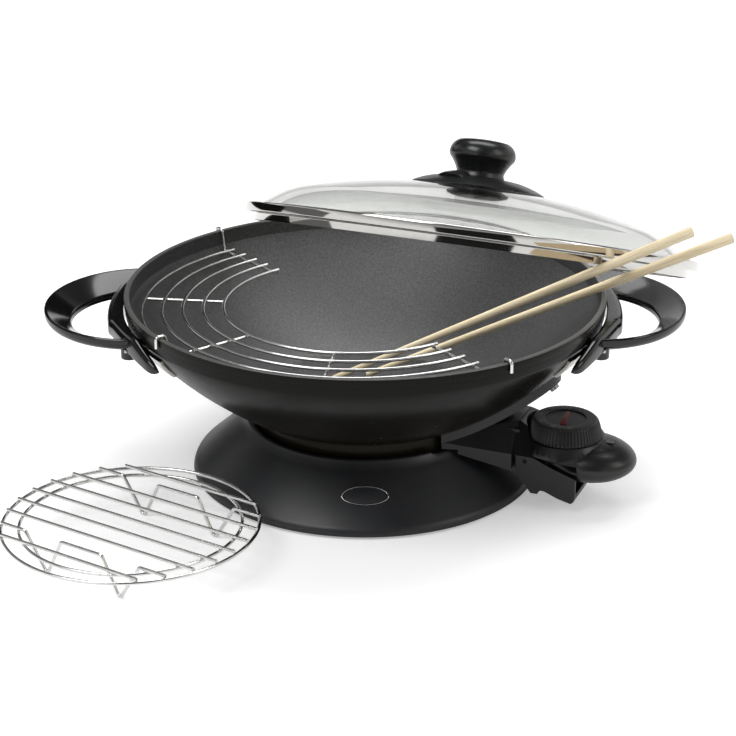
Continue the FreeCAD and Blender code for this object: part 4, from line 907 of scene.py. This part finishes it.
@dataclass
class LoopHandle:
    """Glossy loop handle: a sloping oval loop on a bar that follows the rim, with two screw studs."""

    side: Side
    centre: float = 166.0
    reach: float = 68.0
    grip_reach: float = 48.5
    widen: float = 1.103
    edge_low: float = 122.0
    edge_high: float = 130.0
    grip_low: float = 112.5
    grip_high: float = 118.0
    loop_sweep: float = 190.0
    loop_eases: tuple[float, ...] = (3.4, 2.6, 2.2, 2.2)
    arm_taper: float = 7.6
    taper_start: float = 38.0
    taper_power: float = 0.6
    end_round: float = 9.0
    bar_inner: float = 175.6
    bar_outer: float = 187.5
    bar_low: float = 117.0
    bar_high: float = 131.0
    bar_eases: tuple[float, ...] = (3.0, 6.5, 1.2, 0.8)
    least_bulk: float = 0.02
    arm_low: float = 113.0
    arm_high: float = 120.0
    arm_start: float = 81.0
    arm_end: float = 111.0
    drop_power: float = 1.2
    stud_half_spacing: float = 66.0
    stud_radius: float = 6.0
    stud_low: float = 112.0
    stud_top: float = 121.2
    stud_eases: tuple[float, float] = (0.3, 0.9)
    screw_room: float = 3.7
    screw_depth: float = 3.0

    def make_loop(self) -> BMesh:
        """Make the oval loop, turned round and then widened along the rim.

        Returns:
            Its mesh.
        """
        loop = bmesh.new()
        low, high, inside, start = self.loop_eases
        Outline(loop, self.grip_reach, self.grip_low).to(
            (self.reach, self.edge_low, low), (self.reach, self.edge_high, high),
            (self.grip_reach, self.grip_high, inside)).close(start).turn(120, self.loop_sweep)
        bmesh.ops.scale(loop, vec=(1, self.widen, 1), verts=loop.verts)
        bmesh.ops.translate(loop, vec=(self.centre, 0, 0), verts=loop.verts)
        return loop

    def make_bar(self) -> BMesh:
        """Make the bar along the rim, whose ends grow thinner.

        Returns:
            Its mesh.
        """
        bar = bmesh.new()
        sweep = 2 * math.degrees(math.asin(self.arm_end / self.bar_outer))
        low, high, inside, start = self.bar_eases
        Outline(bar, self.bar_inner, self.bar_low).to(
            (self.bar_outer, self.bar_low, low), (self.bar_outer, self.bar_high, high),
            (self.bar_inner, self.bar_high, inside)).close(start).turn(96, sweep)
        for vert in bar.verts:
            self.shape_arm(vert)
        return bar

    def along_arm(self, reached: float, start: float) -> float:
        """Return how far a reach lies from a start to the arm's end, from 0 to 1."""
        return min(max((reached - start) / (self.arm_end - start), 0), 1)

    def shape_arm(self, vert: BMVert) -> None:
        """Move a corner of the bar: the arms drop, hug the rim and end rounded.

        Args:
            vert: the corner.
        """
        radius = vert.co.xy.length
        reached = abs(vert.co.y) / radius * self.bar_outer
        drop = self.along_arm(reached, self.arm_start) ** self.drop_power
        thin = self.along_arm(reached, self.taper_start) ** self.taper_power
        left = max(self.arm_end - reached, 0) / self.end_round
        bulk = math.sqrt(max(1 - (1 - min(left, 1)) ** 2, self.least_bulk))
        low = self.bar_low + (self.arm_low - self.bar_low) * drop
        high = self.bar_high + (self.arm_high - self.bar_high) * drop
        part = (vert.co.z - self.bar_low) / (self.bar_high - self.bar_low)
        middle = (low + high) / 2
        vert.co.z = middle + (low + part * (high - low) - middle) * bulk
        depth = (radius - self.bar_inner) / (self.bar_outer - self.bar_inner)
        thickness = (self.bar_outer - self.bar_inner - self.arm_taper * thin) * bulk
        vert.co.xy *= (self.bar_inner + depth * thickness) / radius

    def make_stud(self, across: float) -> BMesh:
        """Make a screw stud under the loop.

        Args:
            across: its place along the rim.

        Returns:
            Its mesh.
        """
        stud = bmesh.new()
        room_top = self.stud_low + self.screw_depth
        inner_ease, outer_ease = self.stud_eases
        Outline(stud, 0, room_top).to(
            (self.screw_room, room_top), (self.screw_room, self.stud_low, inner_ease),
            (self.stud_radius, self.stud_low, outer_ease), (self.stud_radius, self.stud_top),
            (0, self.stud_top)).turn(48)
        bmesh.ops.translate(stud, vec=(self.centre, across, 0), verts=stud.verts)
        return stud

    def build(self) -> None:
        """Build the handle of its loop, bar and studs, each closed in itself."""
        bm = bmesh.new()
        spacing = self.stud_half_spacing
        for part in (self.make_loop(), self.make_bar(), self.make_stud(-spacing),
                     self.make_stud(spacing)):
            bmesh.ops.remove_doubles(part, verts=part.verts, dist=MERGE)
            bmesh.ops.recalc_face_normals(part, faces=part.faces)
            carrier = bpy.data.meshes.new("part")
            part.to_mesh(carrier)
            part.free()
            bm.from_mesh(carrier)
            bpy.data.meshes.remove(carrier)
        name = self.side.name.lower()
        turn = turned_about(self.side.value)
        piece = finish_piece(bm, "handle_loop_" + name, [HANDLE_GLOSS], turn, 32)
        present(piece, "wok", "handle_plastic", "handle_" + name)


# ---------------------------------------------------------------- heat control

@dataclass
class HeatControl:
    """Plug-in heat control: two shells, contacts, probe, lamp lens, ejector lever and fixings."""

    cover_edge: float = 0.7
    paddle_edge: float = 1.2

    def build(self) -> None:
        """Build and dress the control without its dial."""
        recast("controller_upper_shell", "control_cover", CONTROL_SATIN, "controller",
               "control_plastic", edge=self.cover_edge)
        recast("controller_lower_shell", "control_tray", CONTROL_SATIN, "controller", "control_plastic")
        recast("ejector_lever", "ejector_paddle", CONTROL_SATIN, "ejector", "control_plastic", 25,
               self.paddle_edge)
        dress(BLOCK_PLASTIC, "contact_block", "thermostat_switch")
        dress(BRASS, "contact_sleeves")
        dress(DRAWN_STEEL, "probe_rod")
        dress(LENS, "indicator_lens")
        dress(RUBBER, "cord_gland")
        dress(SCREW_STEEL, "shell_screws", "ejector_spring", "dial_spindle")
        dress(BLACKENED_STEEL, "ejector_pin")


@dataclass
class HeatDial:
    """Ribbed dial with a sunk middle, printed heat numbers and a red pointer mark."""

    turn: float = -22.0
    reach: float = 155.0
    low: float = 50.4
    top: float = 62.4
    radius: float = 27.0
    top_radius: float = 23.8
    top_inset: float = 1.6
    top_eases: tuple[float, float, float] = (0.25, 0.5, 0.6)
    edge_out: float = 0.2
    edge_drop: float = 1.7
    shoulder_out: float = 1.4
    shoulder_drop: float = 3.4
    hem_inset: float = 0.3
    hem_height: float = 1.0
    ring_radius: float = 14.8
    ring_depth: float = 0.8
    hub_radius: float = 3.05
    hub_high: float = 58.1
    hub_wall: float = 3.0
    skin: float = 3.2
    ribs: int = 64
    rib_steps: int = 4
    rib_depth: float = 1.0
    rib_from: float = 1.2
    rib_edge: float = 0.5
    rib_low: float = 0.5
    marks: tuple[str, ...] = ("0", "150", "200", "250", "300", "350", "400")
    first_mark: float = 58.0
    mark_step: float = 40.0
    number_radius: float = 18.6
    number_height: float = 3.0
    ink_depth: float = 0.04
    ink_lift: float = 0.03
    tick_size: tuple[float, float, float] = (1.2, 0.3, 0.08)
    tick_out: float = 0.9
    pointer_size: tuple[float, float, float] = (23.0, 4.6, 0.9)
    pointer_narrowing: float = 0.55
    pointer_ease: float = 0.35
    pointer_turn: float = 98.0
    pointer_lift: float = 0.3

    def matrix(self) -> Matrix:
        """Find where the dial lies.

        Returns:
            Matrix from the dial's own frame to the wok's frame.
        """
        angle = math.radians(self.turn)
        spot = (self.reach * math.cos(angle), self.reach * math.sin(angle), 0.0)
        return turned_about(self.turn, spot)

    def make_knob(self) -> Object:
        """Make the dial's body with ribs all round its side.

        Returns:
            The dial.
        """
        bm = bmesh.new()
        sunk, under = self.top - self.ring_depth, self.top - self.skin
        edge, hub = self.top - self.edge_drop, self.hub_radius + self.hub_wall
        steps = self.ribs * self.rib_steps
        ring_ease, top_ease, edge_ease = self.top_eases
        Outline(bm, 0, sunk).to(
            (self.ring_radius, sunk), (self.ring_radius, self.top, ring_ease),
            (self.top_radius - self.top_inset, self.top, top_ease),
            (self.top_radius + self.edge_out, edge, edge_ease),
            (self.top_radius + self.shoulder_out, edge - self.shoulder_drop),
            (self.radius - self.hem_inset, self.low + self.hem_height), (self.radius, self.low),
            (self.radius - self.skin, self.low), (self.top_radius - self.skin, under),
            (hub, under), (hub, self.low), (self.hub_radius, self.low),
            (self.hub_radius, self.hub_high), (0, self.hub_high)).turn(steps)
        for vert in bm.verts:
            distance = vert.co.xy.length
            if distance < self.top_radius - self.rib_from or vert.co.z < self.low + self.rib_low:
                continue
            if distance < self.top_radius - self.rib_edge and vert.co.z < edge:
                continue
            step = round(math.atan2(vert.co.y, vert.co.x) / (2 * math.pi) * steps) % self.rib_steps
            if step >= self.rib_steps // 2:
                vert.co.xy *= (distance - self.rib_depth) / distance
        return finish_piece(bm, "dial_ribbed", [DIAL_SATIN], self.matrix(), 28)

    def add_number(self, bm: BMesh, text: str, turn: float) -> None:
        """Add a flat raised number that faces outward.

        Args:
            bm: mesh that gets it.
            text: the number.
            turn: its turn round the dial.
        """
        curve = bpy.data.curves.new("dial_text", "FONT")
        curve.body = text
        curve.size = self.number_height
        curve.extrude = self.ink_depth
        curve.align_x = "CENTER"
        curve.align_y = "CENTER"
        holder = bpy.data.objects.new("dial_text", curve)
        mesh = bpy.data.meshes.new_from_object(holder)
        lettering = bmesh.new()
        lettering.from_mesh(mesh)
        place = (turned_about(turn) @ Matrix.Translation(
            (self.number_radius, 0, self.top + self.ink_lift)) @ turned_about(-90))
        bmesh.ops.transform(lettering, matrix=place, verts=lettering.verts)
        lettering.to_mesh(mesh)
        lettering.free()
        bm.from_mesh(mesh)
        bpy.data.meshes.remove(mesh)
        bpy.data.objects.remove(holder)
        bpy.data.curves.remove(curve)

    def make_numbers(self) -> Object:
        """Make the printed heat numbers and ticks round the dial's top.

        Returns:
            The print.
        """
        bm = bmesh.new()
        for index, mark in enumerate(self.marks):
            turn = self.first_mark + index * self.mark_step
            self.add_number(bm, mark, turn)
            tick = bmesh.ops.create_cube(bm, size=1)["verts"]
            bmesh.ops.scale(bm, vec=self.tick_size, verts=tick)
            bmesh.ops.translate(bm, vec=(self.ring_radius + self.tick_out, 0, self.top + self.ink_lift),
                                verts=tick)
            bmesh.ops.rotate(bm, verts=tick, cent=(0, 0, 0),
                             matrix=Matrix.Rotation(math.radians(turn), 3, "Z"))
        return finish_piece(bm, "dial_numbers", [WHITE_INK], self.matrix(), 30)

    def make_pointer(self) -> Object:
        """Make the raised red pointer mark across the sunk middle.

        Returns:
            The pointer.
        """
        bm = bmesh.new()
        bar = bmesh.ops.create_cube(bm, size=1)["verts"]
        bmesh.ops.scale(bm, vec=self.pointer_size, verts=bar)
        for vert in bar:
            if vert.co.x > 0:
                vert.co.y *= self.pointer_narrowing
        bmesh.ops.bevel(bm, geom=list(bm.edges), offset=self.pointer_ease, offset_type="OFFSET",
                        segments=3, profile=0.5, affect="EDGES", material=-1, clamp_overlap=True)
        place = self.matrix() @ turned_about(
            self.pointer_turn, (0, 0, self.top - self.ring_depth + self.pointer_lift))
        return finish_piece(bm, "dial_pointer", [RED_INK], place, 30)

    def build(self) -> None:
        """Build the dial."""
        present(self.make_knob(), "dial", "control_plastic", "dial_knob")
        present(self.make_numbers(), "dial", "control_plastic")
        present(self.make_pointer(), "dial", "control_plastic")


# ---------------------------------------------------------------- lid

@dataclass
class GlassLid:
    """Domed glass lid with its steel ring and skirt, knob plate with a vent, and knob."""

    centre: tuple[float, float, float] = (83.4588, 123.9262, 141.1891)
    tilt: float = 20.84
    tilt_turn: float = 67.68
    ring_radius: float = 178.0
    ring_height: float = 8.0
    lip_radius: float = 168.0
    sheet: float = 1.0
    skirt_radius: float = 170.5
    skirt_depth: float = 13.6
    glass: float = 3.6
    glass_gap: float = 0.1
    edge_gap: float = 0.3
    lip_inset: float = 0.4
    lip_under: float = 0.6
    knee_inset: float = 1.0
    bore: float = 4.0
    dome_height: float = 36.0
    dome_arc: float = 515.0
    knee_radius: float = 135.0
    knee_height: float = 18.0
    knee_arc: float = 81.0
    plate_radius: float = 52.0
    plate_low: float = 33.67
    plate_high: float = 42.5
    plate_edge: float = 0.7
    plate_wall: float = 2.5
    plate_arc: float = 70.0
    plate_bore: float = 2.8
    plate_gap: float = 0.3
    plate_ease: float = 0.3
    boss_radius: float = 9.0
    neck_radius: float = 19.7
    neck_step: float = 1.0
    neck_ease: float = 0.6
    waist_radius: float = 18.4
    waist: float = 46.0
    waist_ease: float = 3.0
    swell: float = 25.0
    knob_gap: float = 0.02
    knob_bore: float = 5.05
    knob_bore_top: float = 58.2
    knob_radius: float = 26.0
    knob_edge: float = 60.0
    bulge_inset: float = 0.9
    bulge_drop: float = 2.6
    bulge_rise: float = 0.9
    bulge_arc: float = 5.5
    crown_radius: float = 19.0
    crown_edge: float = 70.9
    crown_flat: float = 12.0
    crown_drop: float = 0.35
    crown_ease: float = 3.0
    crown: float = 72.35
    vent_turn: float = -131.0
    vent_reach: float = 33.0
    vent_floor: float = 39.6
    vent_slope: float = 14.0
    vent_size: tuple[float, float, float] = (14.0, 12.5, 4.6)
    vent_cut: float = 0.35
    vent_edge: float = 1.1
    vent_depth: float = 2.2

    def matrix(self) -> Matrix:
        """Find where the lid lies.

        Returns:
            Matrix from the lid's own frame to the wok's frame.
        """
        axis = heading(self.tilt_turn + 90)[0]
        return Matrix.Translation(self.centre) @ Matrix.Rotation(math.radians(self.tilt), 4, axis)

    def make_ring(self) -> Object:
        """Make the rolled steel ring with its skirt.

        Returns:
            The ring.
        """
        bm = bmesh.new()
        inner, skirt = self.ring_radius - self.sheet, self.skirt_radius - self.sheet
        low = -self.ring_height + self.sheet
        Outline(bm, self.lip_radius, 0).to(
            (self.lip_radius, -self.sheet), (inner, -self.sheet, 0.6), (inner, low, 0.6),
            (skirt, low, 0.6), (skirt, -self.skirt_depth), (self.skirt_radius, -self.skirt_depth),
            (self.skirt_radius, -self.ring_height, 0.8), (self.ring_radius, -self.ring_height, 1.4),
            (self.ring_radius, 0, 1.6)).close().turn(ROUND)
        return finish_piece(bm, "lid_ring_rolled", [POLISHED_STEEL], self.matrix())

    def make_glass(self) -> Object:
        """Make the pressed glass dome.

        Returns:
            The dome.
        """
        bm = bmesh.new()
        high = -self.sheet - self.glass_gap
        low, edge = high - self.glass, self.ring_radius - self.sheet - self.edge_gap
        outline = Outline(bm, self.bore, self.dome_height - self.glass)
        outline.arc(self.knee_radius - self.knee_inset, self.knee_height - self.glass,
                    self.dome_arc - self.glass, False, 24)
        outline.arc(self.lip_radius - self.glass - self.lip_under, low, self.knee_arc, False, 16)
        outline.to((edge, low), (edge, high), (self.lip_radius - self.lip_inset, high))
        outline.arc(self.knee_radius, self.knee_height, self.knee_arc, True, 16)
        outline.arc(self.bore, self.dome_height, self.dome_arc, True, 24).close().turn(192)
        piece = finish_piece(bm, "lid_dome", [GLASS], self.matrix(), 30)
        piece.visible_shadow = False
        return piece

    def make_plate(self) -> Object:
        """Make the flared plate under the knob.

        Returns:
            The plate.
        """
        bm = bmesh.new()
        under, floor = self.plate_high - self.plate_wall, self.dome_height + self.plate_gap
        outline = Outline(bm, self.plate_bore, self.plate_high)
        outline.to((self.neck_radius + self.neck_step, self.plate_high))
        outline.arc(self.plate_radius, self.plate_low + self.plate_edge, self.plate_arc, False, 16)
        outline.to((self.plate_radius, self.plate_low, self.plate_ease),
                   (self.plate_radius - self.plate_wall, self.plate_low))
        outline.arc(self.neck_radius, under, self.plate_arc, True, 16)
        outline.to((self.boss_radius, under), (self.boss_radius, floor), (self.plate_bore, floor))
        outline.close().turn(128)
        return finish_piece(bm, "knob_plate", [KNOB_SATIN], self.matrix())

    def make_vent(self) -> Object:
        """Make the arched vent hood on the plate; its mouth is a recessed dark face, painted shade in
        the opening.

        Returns:
            The hood.
        """
        bm = bmesh.new()
        hood = bmesh.ops.create_uvsphere(bm, u_segments=40, v_segments=24, radius=1)["verts"]
        bmesh.ops.scale(bm, vec=self.vent_size, verts=hood)
        cut = bmesh.ops.bisect_plane(
            bm, geom=bm.verts[:] + bm.edges[:] + bm.faces[:], dist=MERGE,
            plane_co=(self.vent_size[0] * self.vent_cut, 0, 0), plane_no=(1, 0, 0), clear_outer=True)
        mouth = [edge for edge in cut["geom_cut"] if isinstance(edge, bmesh.types.BMEdge)]
        mouth_shade = bmesh.ops.holes_fill(bm, edges=mouth, sides=0)["faces"]
        bmesh.ops.inset_region(bm, faces=mouth_shade, thickness=self.vent_edge, depth=0.0)
        bmesh.ops.inset_region(bm, faces=mouth_shade, thickness=0.05, depth=-self.vent_depth)
        # The mouth is closed by a recessed face in the dark rubber finish: painted shade where the
        # opening is.
        for face in mouth_shade:
            face.material_index = 1
        place = (self.matrix() @ turned_about(self.vent_turn)
                 @ Matrix.Translation((self.vent_reach, 0, self.vent_floor))
                 @ Matrix.Rotation(math.radians(self.vent_slope), 4, "Y"))
        return finish_piece(bm, "knob_plate_vent", [KNOB_SATIN, RUBBER], place)

    def make_knob(self) -> Object:
        """Make the knob: a narrow waist under a rounded crown.

        Returns:
            The knob.
        """
        bm = bmesh.new()
        foot = self.plate_high + self.knob_gap
        outline = Outline(bm, self.knob_bore, foot)
        outline.to((self.neck_radius, foot, self.neck_ease),
                   (self.waist_radius, self.waist, self.waist_ease))
        outline.arc(self.knob_radius - self.bulge_inset, self.knob_edge - self.bulge_drop,
                    self.knob_radius - self.waist_radius + self.swell, False, 14)
        outline.arc(self.knob_radius, self.knob_edge + self.bulge_rise, self.bulge_arc, True, 6)
        outline.arc(self.crown_radius, self.crown_edge, self.crown_edge - self.knob_edge)
        outline.to((self.crown_flat, self.crown - self.crown_drop, self.crown_ease), (0, self.crown),
                   (0, self.knob_bore_top), (self.knob_bore, self.knob_bore_top))
        outline.close().turn(128)
        return finish_piece(bm, "lid_knob_moulding", [KNOB_SATIN], self.matrix(), 45)

    def build(self) -> None:
        """Build and dress the lid."""
        present(self.make_ring(), "lid", "polished_steel", "lid_ring")
        present(self.make_glass(), "lid", "lid_glass", "lid_glass")
        present(self.make_plate(), "lid", "handle_plastic", "knob_skirt")
        present(self.make_knob(), "lid", "handle_plastic", "lid_knob")
        present(self.make_vent(), "lid", "handle_plastic")
        dress(RUBBER, "lid_washer")
        dress(CUP_STEEL, "lid_cup")
        dress(BRASS, "knob_insert")
        dress(SCREW_STEEL, "knob_screw")


# ---------------------------------------------------------------- racks and sticks

@dataclass
class WireRacks:
    """Tempura rack on the rim and steaming rack in front, both of chromed wire."""

    def build(self) -> None:
        """Dress the racks."""
        dress(CHROME, "tempura_rack", "steam_rack_rings", "steam_rack_bars",
              "steam_rack_legs_front", "steam_rack_legs_back")


@dataclass
class Chopstick:
    """Round tapered stick of pale wood with eased ends."""

    number: int
    tip: tuple[float, float, float]
    length: float = 298.0
    tip_radius: float = 2.15
    tip_ease: float = 0.9
    end_radius: float = 3.9
    end_ease: float = 1.1

    def build(self) -> None:
        """Build the stick from its tip along the way that it is pulled out."""
        name = "chopstick_%d" % self.number
        joint = next(item for item in frame["joints"] if item["child"] == name)
        turn = UP.rotation_difference(Vector(joint["axis"]).normalized())
        bm = bmesh.new()
        Outline(bm, 0, 0).to((self.tip_radius, 0, self.tip_ease),
                             (self.end_radius, self.length, self.end_ease), (0, self.length)).turn(40)
        wood = TurnedWood("turned_beech_%d" % self.number, "f0e2c3", "d6bf92", tip=self.tip,
                          turn=tuple(turn.to_euler()))
        matrix = Matrix.Translation(self.tip) @ turn.to_matrix().to_4x4()
        stick = finish_piece(bm, "stick_%d" % self.number, [wood], matrix, 40)
        present(stick, name, "stick_wood", name)


# ---------------------------------------------------------------- studio

@dataclass(frozen=True)
class Lamp:
    """Soft rectangular lamp that points at a spot; metres."""

    name: str
    spot: tuple[float, float, float]
    aim: tuple[float, float, float]
    size: tuple[float, float]
    watts: float

    def build(self) -> None:
        """Add the lamp."""
        data = bpy.data.lights.new(self.name, "AREA")
        data.shape = "RECTANGLE"
        data.size, data.size_y = self.size
        data.energy = self.watts
        lamp = bpy.data.objects.new(self.name, data)
        lamp.location = self.spot
        lamp.rotation_mode = "QUATERNION"
        lamp.rotation_quaternion = (Vector(self.aim) - Vector(self.spot)).to_track_quat("-Z", "Y")
        bpy.context.scene.collection.objects.link(lamp)


@dataclass(frozen=True)
class Card:
    """Coloured card that only reflections show, as studio cards shape the gloss; metres."""

    name: str
    spot: tuple[float, float, float]
    aim: tuple[float, float, float]
    size: tuple[float, float]
    colour: str

    def build(self) -> None:
        """Add the card."""
        bm = bmesh.new()
        bmesh.ops.create_grid(bm, x_segments=1, y_segments=1, size=0.5)
        bmesh.ops.scale(bm, vec=(*self.size, 1), verts=bm.verts)
        turn = (Vector(self.aim) - Vector(self.spot)).to_track_quat("Z", "Y").to_matrix().to_4x4()
        bmesh.ops.transform(bm, matrix=Matrix.Translation(self.spot) @ turn, verts=bm.verts)
        material, tree = open_material("painted_" + self.name)
        close_material(tree, add_node(tree, "ShaderNodeEmission", {
            "Color": hex_colour(self.colour), "Strength": 1.0}))
        card = stage_sheet(bm, self.name, material)
        for ray in ("camera", "diffuse", "transmission", "shadow", "volume_scatter"):
            setattr(card, "visible_" + ray, False)


def stage_sheet(bm: BMesh, name: str, material: Material) -> Object:
    """Put a floor or a card into the scene, as no part of the wok.

    Args:
        bm: its mesh in metres; it is used up.
        name: its name.
        material: its material.

    Returns:
        The sheet.
    """
    mesh = bpy.data.meshes.new(name)
    bm.to_mesh(mesh)
    bm.free()
    mesh.materials.append(material)
    sheet = bpy.data.objects.new(name, mesh)
    bpy.context.scene.collection.objects.link(sheet)
    return sheet


def straight_sight(tree: Tree) -> tuple[Node, Socket]:
    """Tell the camera's rays, also through glass, from the others.

    Args:
        tree: node tree that gets the nodes.

    Returns:
        The light path node, and a socket that is 1 for the camera's rays.
    """
    path = add_node(tree, "ShaderNodeLightPath")
    seen = add_node(tree, "ShaderNodeMath", {"operation": "MAXIMUM"}, {
        0: path.outputs["Is Camera Ray"], 1: path.outputs["Is Transmission Ray"]})
    return path, seen.outputs[0]


@dataclass
class Studio:
    """Pale floor, white background, soft lamps and the camera."""

    camera_spot: tuple[float, float, float] = (2.05, -1449.0, 673.3)
    camera_pitch: float = 22.37
    focal_pixels: float = 2117.65
    frame_pixels: float = 736.0
    sensor: float = 36.0
    ambient: float = 0.37
    ceiling_from: float = 0.22
    ceiling_full: float = 0.62
    ceiling_light: float = 0.16
    floor_colour: str = "f2f2f2"
    floor_half: float = 12.0
    floor_drop: float = 0.0002
    floor_lift: float = 0.36
    mirrored_lift: float = 0.14
    lamps: tuple[Lamp, ...] = (
        Lamp("key_lamp", (-1.1, -0.9, 1.9), (0, 0, 0.05), (1.3, 0.9), 22),
        Lamp("top_lamp", (0.2, 0.7, 2.0), (0, 0, 0.05), (1.8, 0.8), 25),
        Lamp("fill_lamp", (1.7, -0.8, 1.1), (0, 0, 0.1), (0.8, 1.2), 7))
    cards: tuple[Card, ...] = (
        Card("front_card", (0.0, -2.6, 0.75), (0, 0, 0.1), (1.9, 1.4), "202020"),
        Card("back_card", (-0.4, 2.6, 1.15), (0, 0, 0.1), (3.6, 1.2), "242424"),
        Card("left_back_card", (-0.75, 0.72, 0.14), (0, 0.1, 0.14), (0.8, 0.28), "141414"),
        Card("left_card", (-1.6, 0.3, 0.42), (0, 0.1, 0.14), (1.1, 0.5), "6a6a6a"),
        Card("right_card", (1.5, -0.7, 0.3), (0, 0.1, 0.14), (2.2, 0.6), "cab795"),
        Card("right_low_card", (1.2, -0.55, 0.1), (0, 0.1, 0.14), (1.9, 0.12), "4a3a2e"))

    def make_camera(self) -> None:
        """Make the camera."""
        data = bpy.data.cameras.new("camera")
        data.sensor_width = self.sensor
        data.lens = self.focal_pixels / self.frame_pixels * self.sensor
        data.clip_start = 0.05
        data.clip_end = 50
        camera = bpy.data.objects.new("camera", data)
        camera.location = Vector(self.camera_spot) * MILLIMETRE
        camera.rotation_euler = (math.radians(90 - self.camera_pitch), 0, 0)
        bpy.context.scene.collection.objects.link(camera)
        bpy.context.scene.camera = camera

    def make_world(self) -> None:
        """Make a white world that reflections see darken overhead and that lights at a plain level."""
        world = bpy.data.worlds.new("studio")
        world.use_nodes = True
        tree = world.node_tree
        tree.nodes.clear()
        path, seen = straight_sight(tree)
        direction = add_node(tree, "ShaderNodeTexCoord").outputs["Generated"]
        height = add_node(tree, "ShaderNodeSeparateXYZ", links={0: direction}).outputs["Z"]
        ceiling = add_node(tree, "ShaderNodeMapRange", {
            "interpolation_type": "SMOOTHSTEP", "From Min": self.ceiling_from,
            "From Max": self.ceiling_full, "To Min": 1.0, "To Max": self.ceiling_light},
            {"Value": height}).outputs["Result"]
        plain = add_node(tree, "ShaderNodeBackground", {"Color": WHITE, "Strength": self.ambient})
        mirrored = add_node(tree, "ShaderNodeBackground", {"Color": WHITE}, {"Strength": ceiling})
        white = add_node(tree, "ShaderNodeBackground", {"Color": WHITE, "Strength": 1.0})
        glossy = add_node(tree, "ShaderNodeMixShader", links={
            0: path.outputs["Is Glossy Ray"], 1: plain.outputs[0], 2: mirrored.outputs[0]})
        shown = add_node(tree, "ShaderNodeMixShader", links={
            0: seen, 1: glossy.outputs[0], 2: white.outputs[0]})
        add_node(tree, "ShaderNodeOutputWorld", links={"Surface": shown.outputs[0]})
        bpy.context.scene.world = world

    def make_floor(self) -> None:
        """Make a white floor that keeps the shadows."""
        bm = bmesh.new()
        bmesh.ops.create_grid(bm, x_segments=1, y_segments=1, size=self.floor_half)
        bmesh.ops.translate(bm, vec=(0, 0, -self.floor_drop), verts=bm.verts)
        material, tree = open_material("matt_white_sweep")
        path, seen = straight_sight(tree)
        mirrored = add_node(tree, "ShaderNodeMath", {"operation": "MULTIPLY", 1: self.mirrored_lift},
                            {0: path.outputs["Is Glossy Ray"]})
        lift = add_node(tree, "ShaderNodeMath", {"operation": "MULTIPLY_ADD", 1: self.floor_lift},
                        {0: seen, 2: mirrored.outputs[0]})
        paint = add_node(tree, "ShaderNodeBsdfDiffuse", {"Color": hex_colour(self.floor_colour)})
        glow = add_node(tree, "ShaderNodeEmission", {"Color": WHITE}, {"Strength": lift.outputs[0]})
        close_material(tree, add_node(tree, "ShaderNodeAddShader", links={
            0: paint.outputs[0], 1: glow.outputs[0]}))
        stage_sheet(bm, "floor", material)

    def build(self) -> None:
        """Set up the whole studio."""
        bpy.context.scene.view_settings.view_transform = "Standard"
        self.make_world()
        self.make_floor()
        for item in self.lamps + self.cards:
            item.build()
        self.make_camera()


# ---------------------------------------------------------------- whole model


def main() -> None:
    """Build the studio and every sub-assembly in order."""
    logging.basicConfig(level=logging.INFO, format="%(name)s: %(message)s")
    Studio().build()
    for section in (BaseStand(), WokPan(), LoopHandle(Side.RIGHT), LoopHandle(Side.LEFT),
                    HeatControl(), HeatDial(), GlassLid(), WireRacks(),
                    Chopstick(1, (-24.1, 27.4, 57.25)), Chopstick(2, (1.2, 34.7, 57.25))):
        section.build()
        LOG.info("%s done", type(section).__name__)


if __name__ == "__main__":
    main()
